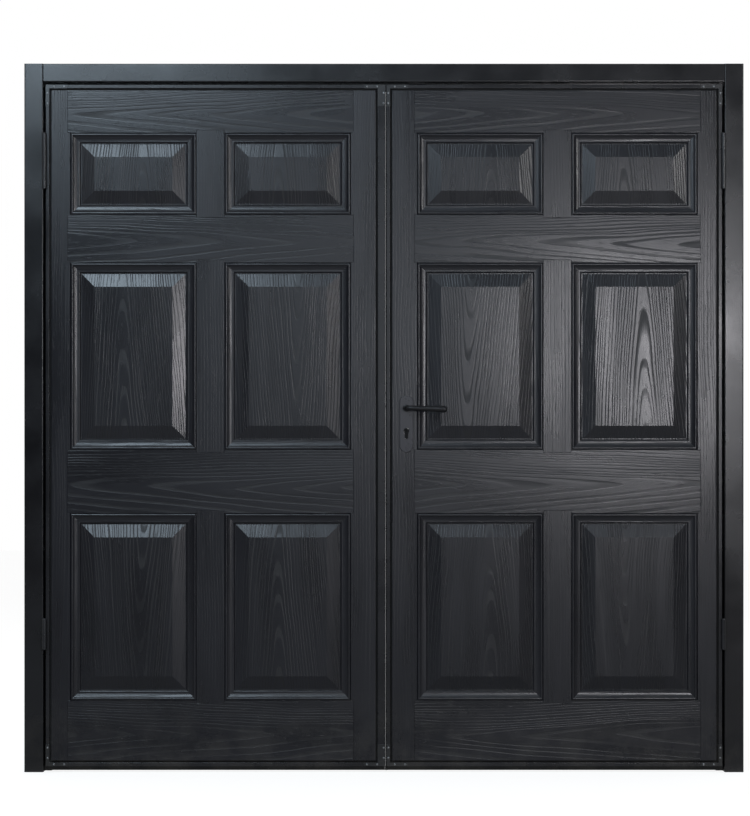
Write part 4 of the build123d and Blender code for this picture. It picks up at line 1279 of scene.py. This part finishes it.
# Chassis and frame


@dataclass
class Leaf:
    """One leaf: its skin, chassis, seals and the rivets of its corner cleats."""

    side: Side
    rivets_along: Point = (26.0, 58.0)
    rivet_inset: float = 5.75

    def dress(self, finishes: Finishes) -> None:
        """Give the leaf's CAD nodes their finishes.

        Args:
            finishes: the materials.
        """
        word = self.side.word
        chassis = ("hinge_stile", "meeting_stile", "top_rail", "bottom_rail", "braces")
        dress(finishes.chassis, *(f"{word}_{part}" for part in chassis))
        dress(finishes.cleat, f"{word}_corner_cleats")
        dress(finishes.hinge, f"{word}_hinge_upper_halves")
        dress(finishes.rubber, f"{word}_panel_gasket", f"{word}_bottom_seal")
        dress(finishes.skin, f"{word}_panel")
        log.info("%s leaf dressed", word)

    def rivet(self, finishes: Finishes) -> bpy.types.Object:
        """Set two rivets in each leg of each cleat.

        Args:
            finishes: the materials.

        Returns:
            The rivets as one piece.
        """
        low, high = (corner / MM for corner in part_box(f"{self.side.word}_corner_cleats"))
        face = low.y * MM
        places = []
        for edge_x, inward_x in ((low.x, 1), (high.x, -1)):
            for edge_z, inward_z in ((low.z, 1), (high.z, -1)):
                for along in self.rivets_along:
                    near_x = (edge_x + inward_x * self.rivet_inset) * MM
                    near_z = (edge_z + inward_z * self.rivet_inset) * MM
                    far_x = (edge_x + inward_x * along) * MM
                    far_z = (edge_z + inward_z * along) * MM
                    places.append(facing("-y", near_x, face, far_z))
                    places.append(facing("-y", far_x, face, near_z))
        name = f"{self.side.word}_cleat_rivets"
        return FastenerSet(name, f"{self.side.word}_leaf", "zinc_steel", Fastener(3.4, 1.5), places).build(finishes.rivet)


@dataclass
class Surround:
    """The fixed frame with its seals, plugs, hinges and keeps."""

    keep_screw_reach: float = 22.0

    def dress(self, finishes: Finishes) -> None:
        """Give the frame's CAD nodes their finishes.

        Args:
            finishes: the materials.
        """
        dress(finishes.frame, "left_post", "right_post", "head_rail", "head_stop")
        dress(finishes.dark_zinc, "head_keeps")
        dress(finishes.hinge, "left_hinge_lower_halves", "right_hinge_lower_halves")
        dress(finishes.rubber, "side_seals", "head_seal")
        dress(finishes.plastic, "post_foot_plugs", "post_top_caps")
        dress(finishes.zinc, "head_brackets")
        log.info("fixed frame dressed")

    def screw_keeps(self, finishes: Finishes) -> bpy.types.Object:
        """Set two screws in each keep plate under the head.

        Args:
            finishes: the materials.

        Returns:
            The screws as one piece.
        """
        places = []
        for x, y, under in ((101.0, 9.0, 2160.0), (-18.5, 32.0, 2138.0)):
            for way in (-1, 1):
                places.append(facing("-z", (x + way * self.keep_screw_reach) * MM, y * MM, under * MM))
        head = Fastener(3.6, 1.3, Recess.SOCKET, 1.6, 0.8)
        return FastenerSet("head_keep_screws", "frame", "zinc_steel", head, places).build(finishes.rivet)


@dataclass
class MeetingSeal:
    """The seal on the active leaf's edge: a flat strip, a soft bulb that closes the gap, and a foot."""

    bulb_reach: float = 2.75
    bulb_depth: float = 4.0
    bulb_set_back: float = 3.0
    clearance: float = 0.25
    lines: int = 14

    def build(self, finishes: Finishes) -> bpy.types.Object:
        """Build the seal, and hide the CAD one.

        Args:
            finishes: the materials.

        Returns:
            The piece.
        """
        low, high = (corner.copy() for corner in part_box("meeting_seal"))
        other_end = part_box("left_bottom_seal")[1]
        own_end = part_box("right_bottom_seal")[0]
        low.z = own_end.z
        bm = bmesh.new()
        self._block(bm, low, high)
        near = Vector((other_end.x + self.clearance * MM, low.y + self.bulb_set_back * MM, low.z))
        far = Vector((own_end.x, near.y + self.bulb_depth * MM, other_end.z - self.clearance * MM))
        self._block(bm, near, far)
        ring = bmesh.ops.create_circle(bm, segments=self.lines, radius=1.0)["verts"]
        outline = list({edge for vert in ring for edge in vert.link_edges})
        reach, depth = self.bulb_reach * MM, self.bulb_depth * MM
        middle = Matrix.Translation((high.x - reach / 2, low.y + self.bulb_set_back * MM + depth / 2, low.z))
        bmesh.ops.transform(bm, matrix=middle @ Matrix.Diagonal((reach / 2, depth / 2, 1.0, 1.0)), verts=ring)
        ends = bmesh.ops.contextual_create(bm, geom=outline)["faces"]
        made = bmesh.ops.extrude_face_region(bm, geom=ends)["geom"]
        top = [item for item in made if isinstance(item, bmesh.types.BMVert)]
        bmesh.ops.translate(bm, vec=(0, 0, high.z - low.z), verts=top)
        bmesh.ops.recalc_face_normals(bm, faces=bm.faces)
        for face in bm.faces:
            face.smooth = True
        for edge in bm.edges:
            edge.smooth = edge.calc_face_angle(0.0) < math.radians(40)
        piece = finish_piece(bm, "meeting_seal_bulb", [finishes.rubber])
        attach(piece, "right_leaf")
        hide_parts("meeting_seal")
        log.info("%s: %d faces", piece.name, len(piece.data.polygons))
        return piece

    @staticmethod
    def _block(bm: bmesh.types.BMesh, low: Vector, high: Vector) -> None:
        """Add a block between two corners.

        Args:
            bm: the bmesh to add to.
            low: its low corner.
            high: its high corner.
        """
        verts = bmesh.ops.create_cube(bm, size=1.0)["verts"]
        place = Matrix.Translation((low + high) / 2) @ Matrix.Diagonal((*(high - low), 1.0))
        bmesh.ops.transform(bm, matrix=place, verts=verts)


# Lever furniture


@dataclass
class Lever:
    """A lever: a rose, a round neck that bends into a bar, and a swelling end."""

    inner: bool
    pivot_x: float = 70.5
    pivot_z: float = 1141.0
    rose_radius: float = 11.0
    rose_depth: float = 5.0
    plate_thickness: float = 4.0
    leaf_half: float = 20.0
    standoff: float = 44.0
    neck_radius: float = 7.6
    bend: float = 13.0
    length: float = 127.0
    droop: float = 4.0
    waist: Point = (42.0, 8.3)
    palm: Point = (88.0, 9.5)
    end_radius: float = 10.35
    sides: int = 20

    def path(self) -> list[tuple[Vector, Vector, float]]:
        """Stations along the bar: place, direction and radius, with +Y away from the door.

        Returns:
            The stations from the rose to the end.
        """
        start = self.plate_thickness + self.rose_depth - 2.0
        reach = self.standoff
        stations = [(Vector((0, start, 0)), Vector((0, 1, 0)), self.neck_radius + 1.4)]
        stations.append((Vector((0, start + 3.0, 0)), Vector((0, 1, 0)), self.neck_radius + 0.2))
        stations.append((Vector((0, (start + reach - self.bend) / 2, 0)), Vector((0, 1, 0)), self.neck_radius))
        for step in range(7):
            turn = math.radians(90 * step / 6)
            place = Vector((self.bend * (1 - math.cos(turn)), reach - self.bend * (1 - math.sin(turn)), 0))
            stations.append((place, Vector((math.sin(turn), math.cos(turn), 0)), self.neck_radius))
        slope = -self.droop / (self.length - self.bend)
        for x, radius in (
            (26.0, 8.4), self.waist, (66.0, 8.5), self.palm, (100.0, 10.2), (112.0, self.end_radius),
            (self.length - 7.0, self.end_radius), (self.length - 3.4, self.end_radius - 1.4),
            (self.length - 1.0, self.end_radius - 4.0), (self.length, self.end_radius - 7.2),
        ):
            place = Vector((x, reach, slope * (x - self.bend)))
            stations.append((place, Vector((1, 0, slope)).normalized(), radius))
        return stations

    def build(self, finishes: Finishes) -> bpy.types.Object:
        """Build the lever, and hide the CAD one.

        Args:
            finishes: the materials.

        Returns:
            The piece.
        """
        bm = bmesh.new()
        self._sweep(bm)
        self._turn_rose(bm)
        way = 1 if self.inner else -1
        bmesh.ops.scale(bm, vec=(MM, MM * way, MM), verts=bm.verts)
        origin = Vector((self.pivot_x, way * self.leaf_half, self.pivot_z)) * MM
        bmesh.ops.translate(bm, vec=origin, verts=bm.verts)
        bmesh.ops.recalc_face_normals(bm, faces=bm.faces)
        node = "inner_lever" if self.inner else "outer_lever"
        piece = finish_piece(bm, f"{node}_smooth", [finishes.lever])
        smooth = piece.modifiers.new("smooth", "SUBSURF")
        smooth.levels = smooth.render_levels = 2
        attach(piece, "lever_set")
        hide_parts(node)
        log.info("%s: %d faces before subdivision", piece.name, len(piece.data.polygons))
        return piece

    def _sweep(self, bm: bmesh.types.BMesh) -> None:
        """Sweep a circle along the stations and close both ends.

        Args:
            bm: the bmesh to add to.
        """
        stations = self.path()
        ring = bmesh.ops.create_circle(bm, segments=self.sides, radius=1.0)["verts"]
        edges = list({edge for vert in ring for edge in vert.link_edges})
        pose = self._pose(*stations[0])
        bmesh.ops.transform(bm, matrix=pose, verts=ring)
        bmesh.ops.contextual_create(bm, geom=edges)
        for station in stations[1:]:
            made = bmesh.ops.extrude_edge_only(bm, edges=edges)["geom"]
            ring = [item for item in made if isinstance(item, bmesh.types.BMVert)]
            edges = [item for item in made if isinstance(item, bmesh.types.BMEdge) and item.is_boundary]
            following = self._pose(*station)
            bmesh.ops.transform(bm, matrix=following @ pose.inverted(), verts=ring)
            pose = following
        bmesh.ops.contextual_create(bm, geom=edges)
        for face in bm.faces:
            face.smooth = True

    @staticmethod
    def _pose(place: Vector, direction: Vector, radius: float) -> Matrix:
        """Where a unit circle goes at a station.

        Args:
            place: its middle.
            direction: its axis.
            radius: its radius.

        Returns:
            The matrix.
        """
        up = Vector((0, 0, 1))
        side = direction.cross(up).normalized()
        up = side.cross(direction)
        turn = Matrix((side, up, direction)).transposed().to_4x4()
        return Matrix.Translation(place) @ turn @ Matrix.Diagonal((radius, radius, radius, 1.0))

    def _turn_rose(self, bm: bmesh.types.BMesh) -> None:
        """Turn the rose that stands on the backplate.

        Args:
            bm: the bmesh to add to.
        """
        low = self.plate_thickness + 0.3
        high = self.plate_thickness + self.rose_depth
        outline = [
            (0.0, low), (self.rose_radius - 0.2, low), (self.rose_radius, low + 0.3),
            (self.rose_radius, high - 1.4), (self.rose_radius - 0.5, high - 0.4), (self.rose_radius - 1.5, high),
            (self.neck_radius + 1.2, high), (0.0, high),
        ]
        lathe(bm, outline, facing("+y", 0, 0, 0), self.sides)


@dataclass
class LockSet:
    """The lock, its furniture, rods and cylinder, and the shoot bolts of the other leaf."""

    plate_screw_x: float = 70.5
    plate_screw_heights: Point = (1169.0, 1013.0)

    def dress(self, finishes: Finishes) -> None:
        """Give the lock's CAD nodes their finishes.

        Args:
            finishes: the materials.
        """
        dress(finishes.furniture, "outer_backplate", "inner_backplate")
        dress(finishes.lever, "outer_lever", "inner_lever")
        dress(finishes.cylinder, "cylinder_body", "cylinder_plugs", "cylinder_cam", "cylinder_screw")
        dress(
            finishes.zinc, "lock_case", "lock_case_cover", "lock_forend", "lock_pinion", "centre_bolt",
            "top_rod", "bottom_rod", "strike_keep", "spindle", "top_shoot_bolt", "bottom_shoot_bolt",
        )
        dress(finishes.plastic, "lock_packer", "rod_guides", "top_bolt_guide", "bottom_bolt_guide")
        dress(finishes.rubber, "meeting_seal")
        MeetingSeal().build(finishes)
        log.info("lock dressed")

    def screw_inner_plate(self, finishes: Finishes) -> bpy.types.Object:
        """Set two screws in the inner backplate.

        Args:
            finishes: the materials.

        Returns:
            The screws as one piece.
        """
        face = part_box("inner_backplate")[1].y
        places = [facing("+y", self.plate_screw_x * MM, face, height * MM) for height in self.plate_screw_heights]
        head = Fastener(4.2, 1.8, Recess.SOCKET, 2.0, 1.2)
        return FastenerSet("inner_plate_screws", "right_leaf", "black_furniture", head, places).build(finishes.furniture)

    def screw_edges(self, finishes: Finishes) -> list[bpy.types.Object]:
        """Set the screws of the forend and of the strike in the leaves' meeting edges.

        Args:
            finishes: the materials.

        Returns:
            The two sets.
        """
        sets = []
        for name, body, node, way in (
            ("forend_screws", "right_leaf", "lock_forend", "-x"), ("strike_screws", "left_leaf", "strike_keep", "+x")
        ):
            low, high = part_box(node)
            x = low.x if way == "-x" else high.x
            y = (low.y + high.y) / 2
            places = [facing(way, x, y, z) for z in (low.z + 9 * MM, high.z - 9 * MM)]
            head = Fastener(3.4, 0.5, Recess.SOCKET, 1.5, 0.35)
            sets.append(FastenerSet(name, body, "zinc_steel", head, places).build(finishes.rivet))
        return sets

    def screw_guides(self, finishes: Finishes) -> bpy.types.Object:
        """Set four screws in each guide plate of the shoot bolts.

        Args:
            finishes: the materials.

        Returns:
            The screws as one piece.
        """
        places = []
        for node in ("top_bolt_guide", "bottom_bolt_guide"):
            low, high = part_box(node)
            face = low.y + 2 * MM
            for z in (low.z + 40 * MM, high.z - 40 * MM):
                for x in (low.x + 5 * MM, high.x - 5 * MM):
                    places.append(facing("+y", x, face, z))
        head = Fastener(3.2, 1.6, Recess.SOCKET, 1.5, 1.0)
        return FastenerSet("bolt_guide_screws", "left_leaf", "zinc_steel", head, places).build(finishes.rivet)


# Studio


@dataclass(frozen=True)
class Softbox:
    """A soft lamp: where it hangs, what it points at, its size, glow and colour."""

    name: str
    place: tuple[float, float, float]
    target: tuple[float, float, float]
    size: Point
    glow: float
    colour: tuple[float, float, float] = (1.0, 1.0, 1.0)


@dataclass
class Studio:
    """A pale floor, a white surround, soft lamps and the camera of the picture."""

    middle_x: float = -28.0
    middle_z: float = 1141.0
    distance: float = 9000.0
    seen_width: float = 2349.5
    sensor: float = 36.0
    room_light: float = 0.5
    lamps: tuple[Softbox, ...] = (
        Softbox("high_softbox", (-1.55, -3.8, 3.8), (-1.1, 0.0, 2.2), (1.6, 2.4), 9.3, (0.7, 0.86, 1.0)),
        Softbox("side_softbox", (1.2, -3.8, 1.42), (0.85, 0.0, 1.3), (0.62, 0.72), 19.0, (0.98, 0.96, 1.0)),
        Softbox("strip_softbox", (3.2, -3.8, 2.3), (0.6, 0.0, 1.9), (0.85, 0.45), 20.0),
        Softbox("left_softbox", (-3.3, -3.8, 2.75), (0.0, 0.0, 1.9), (1.9, 0.6), 1.8, (0.9, 0.95, 1.0)),
        Softbox("fill_softbox", (0.4, -3.9, 1.6), (0.3, 0.0, 1.5), (2.5, 1.3), 1.0, (0.82, 0.91, 1.0)),
        Softbox("back_softbox", (1.5, 5.5, 3.5), (0.0, 0.0, 1.2), (3.0, 2.0), 2.5),
    )

    def build(self) -> None:
        """Set everything that isn't the door."""
        scene = bpy.context.scene
        scene.view_settings.view_transform = "Standard"
        self._set_camera(scene)
        self._lay_floor()
        self._set_world(scene)
        for lamp in self.lamps:
            self._hang_lamp(lamp)
        log.info("studio set")

    def _set_camera(self, scene: bpy.types.Scene) -> None:
        """Place the camera square to the door, at the picture's height and width.

        Args:
            scene: the scene.
        """
        data = bpy.data.cameras.new("picture_camera")
        data.sensor_fit = "HORIZONTAL"
        data.sensor_width = self.sensor
        data.lens = self.sensor * self.distance / self.seen_width
        data.clip_end = 60.0
        camera = bpy.data.objects.new("picture_camera", data)
        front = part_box("head_rail")[0].y
        camera.location = (self.middle_x * MM, front - self.distance * MM, self.middle_z * MM)
        camera.rotation_euler = (math.radians(90), 0.0, 0.0)
        scene.collection.objects.link(camera)
        scene.camera = camera

    def _lay_floor(self) -> None:
        """Lay the floor: white where it is seen unshaded, and in a gloss behind the door."""
        bm = bmesh.new()
        bmesh.ops.create_grid(bm, x_segments=1, y_segments=1, size=14.0)
        material = bpy.data.materials.new("floor_white")
        material.use_nodes = True
        t = Tree(material.node_tree)
        shader = material.node_tree.nodes["Principled BSDF"]
        shader.inputs["Base Color"].default_value = (0.3, 0.3, 0.3, 1.0)
        shader.inputs["Roughness"].default_value = 0.9
        shader.inputs["Specular IOR Level"].default_value = 0.1
        shader.inputs["Emission Color"].default_value = (1.0, 1.0, 1.0, 1.0)
        ray = t.add("LightPath")
        seen = t.math("MAXIMUM", ray.outputs["Is Camera Ray"], ray.outputs["Is Transmission Ray"])
        _, y, _ = t.split(t.add("TexCoord").outputs["Object"])
        mirrored = t.math("MULTIPLY", ray.outputs["Is Glossy Ray"], t.span(y, -0.4, 0.6, 0.04, 1.0))
        t.feed(shader.inputs["Emission Strength"], t.math("MULTIPLY", t.math("MAXIMUM", seen, mirrored), 0.8))
        floor = finish_piece(bm, "studio_floor", [material])

    def _set_world(self, scene: bpy.types.Scene) -> None:
        """Surround the door with white where it is seen, and a plain level of light.

        A gloss sees the same white behind the door, and in front of it a room that is
        dim near the ground and paler above, so that black stays black.

        Args:
            scene: the scene.
        """
        world = bpy.data.worlds.new("white_surround")
        world.use_nodes = True
        scene.world = world
        t = Tree(world.node_tree)
        shade = world.node_tree.nodes["Background"]
        _, y, z = t.split(t.add("TexCoord").outputs["Generated"])
        room = t.span(y, 0.15, -0.2)
        dim = t.span(z, -0.02, 0.6, 0.03, 0.4)
        gloss = t.math("ADD", 1.0, t.math("MULTIPLY", room, t.math("SUBTRACT", dim, 1.0)))
        ray = t.add("LightPath")
        clear = t.math("MAXIMUM", ray.outputs["Is Camera Ray"], ray.outputs["Is Transmission Ray"])
        seen = t.math("MAXIMUM", clear, t.math("MULTIPLY", ray.outputs["Is Glossy Ray"], gloss))
        plain = t.math("MAXIMUM", clear, ray.outputs["Is Glossy Ray"])
        level = t.math("MULTIPLY", t.math("SUBTRACT", 1.0, plain), self.room_light)
        t.feed(shade.inputs["Strength"], t.math("ADD", seen, level))
        cool = t.math("MULTIPLY", room, ray.outputs["Is Glossy Ray"])
        t.feed(shade.inputs["Color"], t.blend(cool, (1.0, 1.0, 1.0), (0.84, 0.92, 1.0)))

    @staticmethod
    def _hang_lamp(softbox: Softbox) -> None:
        """Hang a soft lamp.

        Args:
            softbox: what it is like.
        """
        width, height = softbox.size
        data = bpy.data.lights.new(softbox.name, "AREA")
        data.shape = "RECTANGLE"
        data.size, data.size_y = width, height
        data.energy = softbox.glow * math.pi * width * height
        data.color = softbox.colour
        lamp = bpy.data.objects.new(softbox.name, data)
        lamp.location = softbox.place
        way = Vector(softbox.target) - Vector(softbox.place)
        lamp.rotation_euler = way.to_track_quat("-Z", "Y").to_euler()
        lamp.visible_camera = False
        bpy.context.scene.collection.objects.link(lamp)


def main() -> None:
    """Build the door's looks, one sub-assembly at a time."""
    logging.basicConfig(level=logging.INFO, format="%(message)s")
    finishes = Finishes(Effects())
    Studio().build()
    surround = Surround()
    surround.dress(finishes)
    surround.screw_keeps(finishes)
    for side, seed in ((Side.LEFT, 11), (Side.RIGHT, 29)):
        leaf = Leaf(side)
        leaf.dress(finishes)
        leaf.rivet(finishes)
        MouldedSkin(side).build(finishes, seed)
    lock = LockSet()
    lock.dress(finishes)
    lock.screw_inner_plate(finishes)
    lock.screw_edges(finishes)
    lock.screw_guides(finishes)
    for inner in (False, True):
        Lever(inner).build(finishes)


if __name__ == "__main__":
    main()
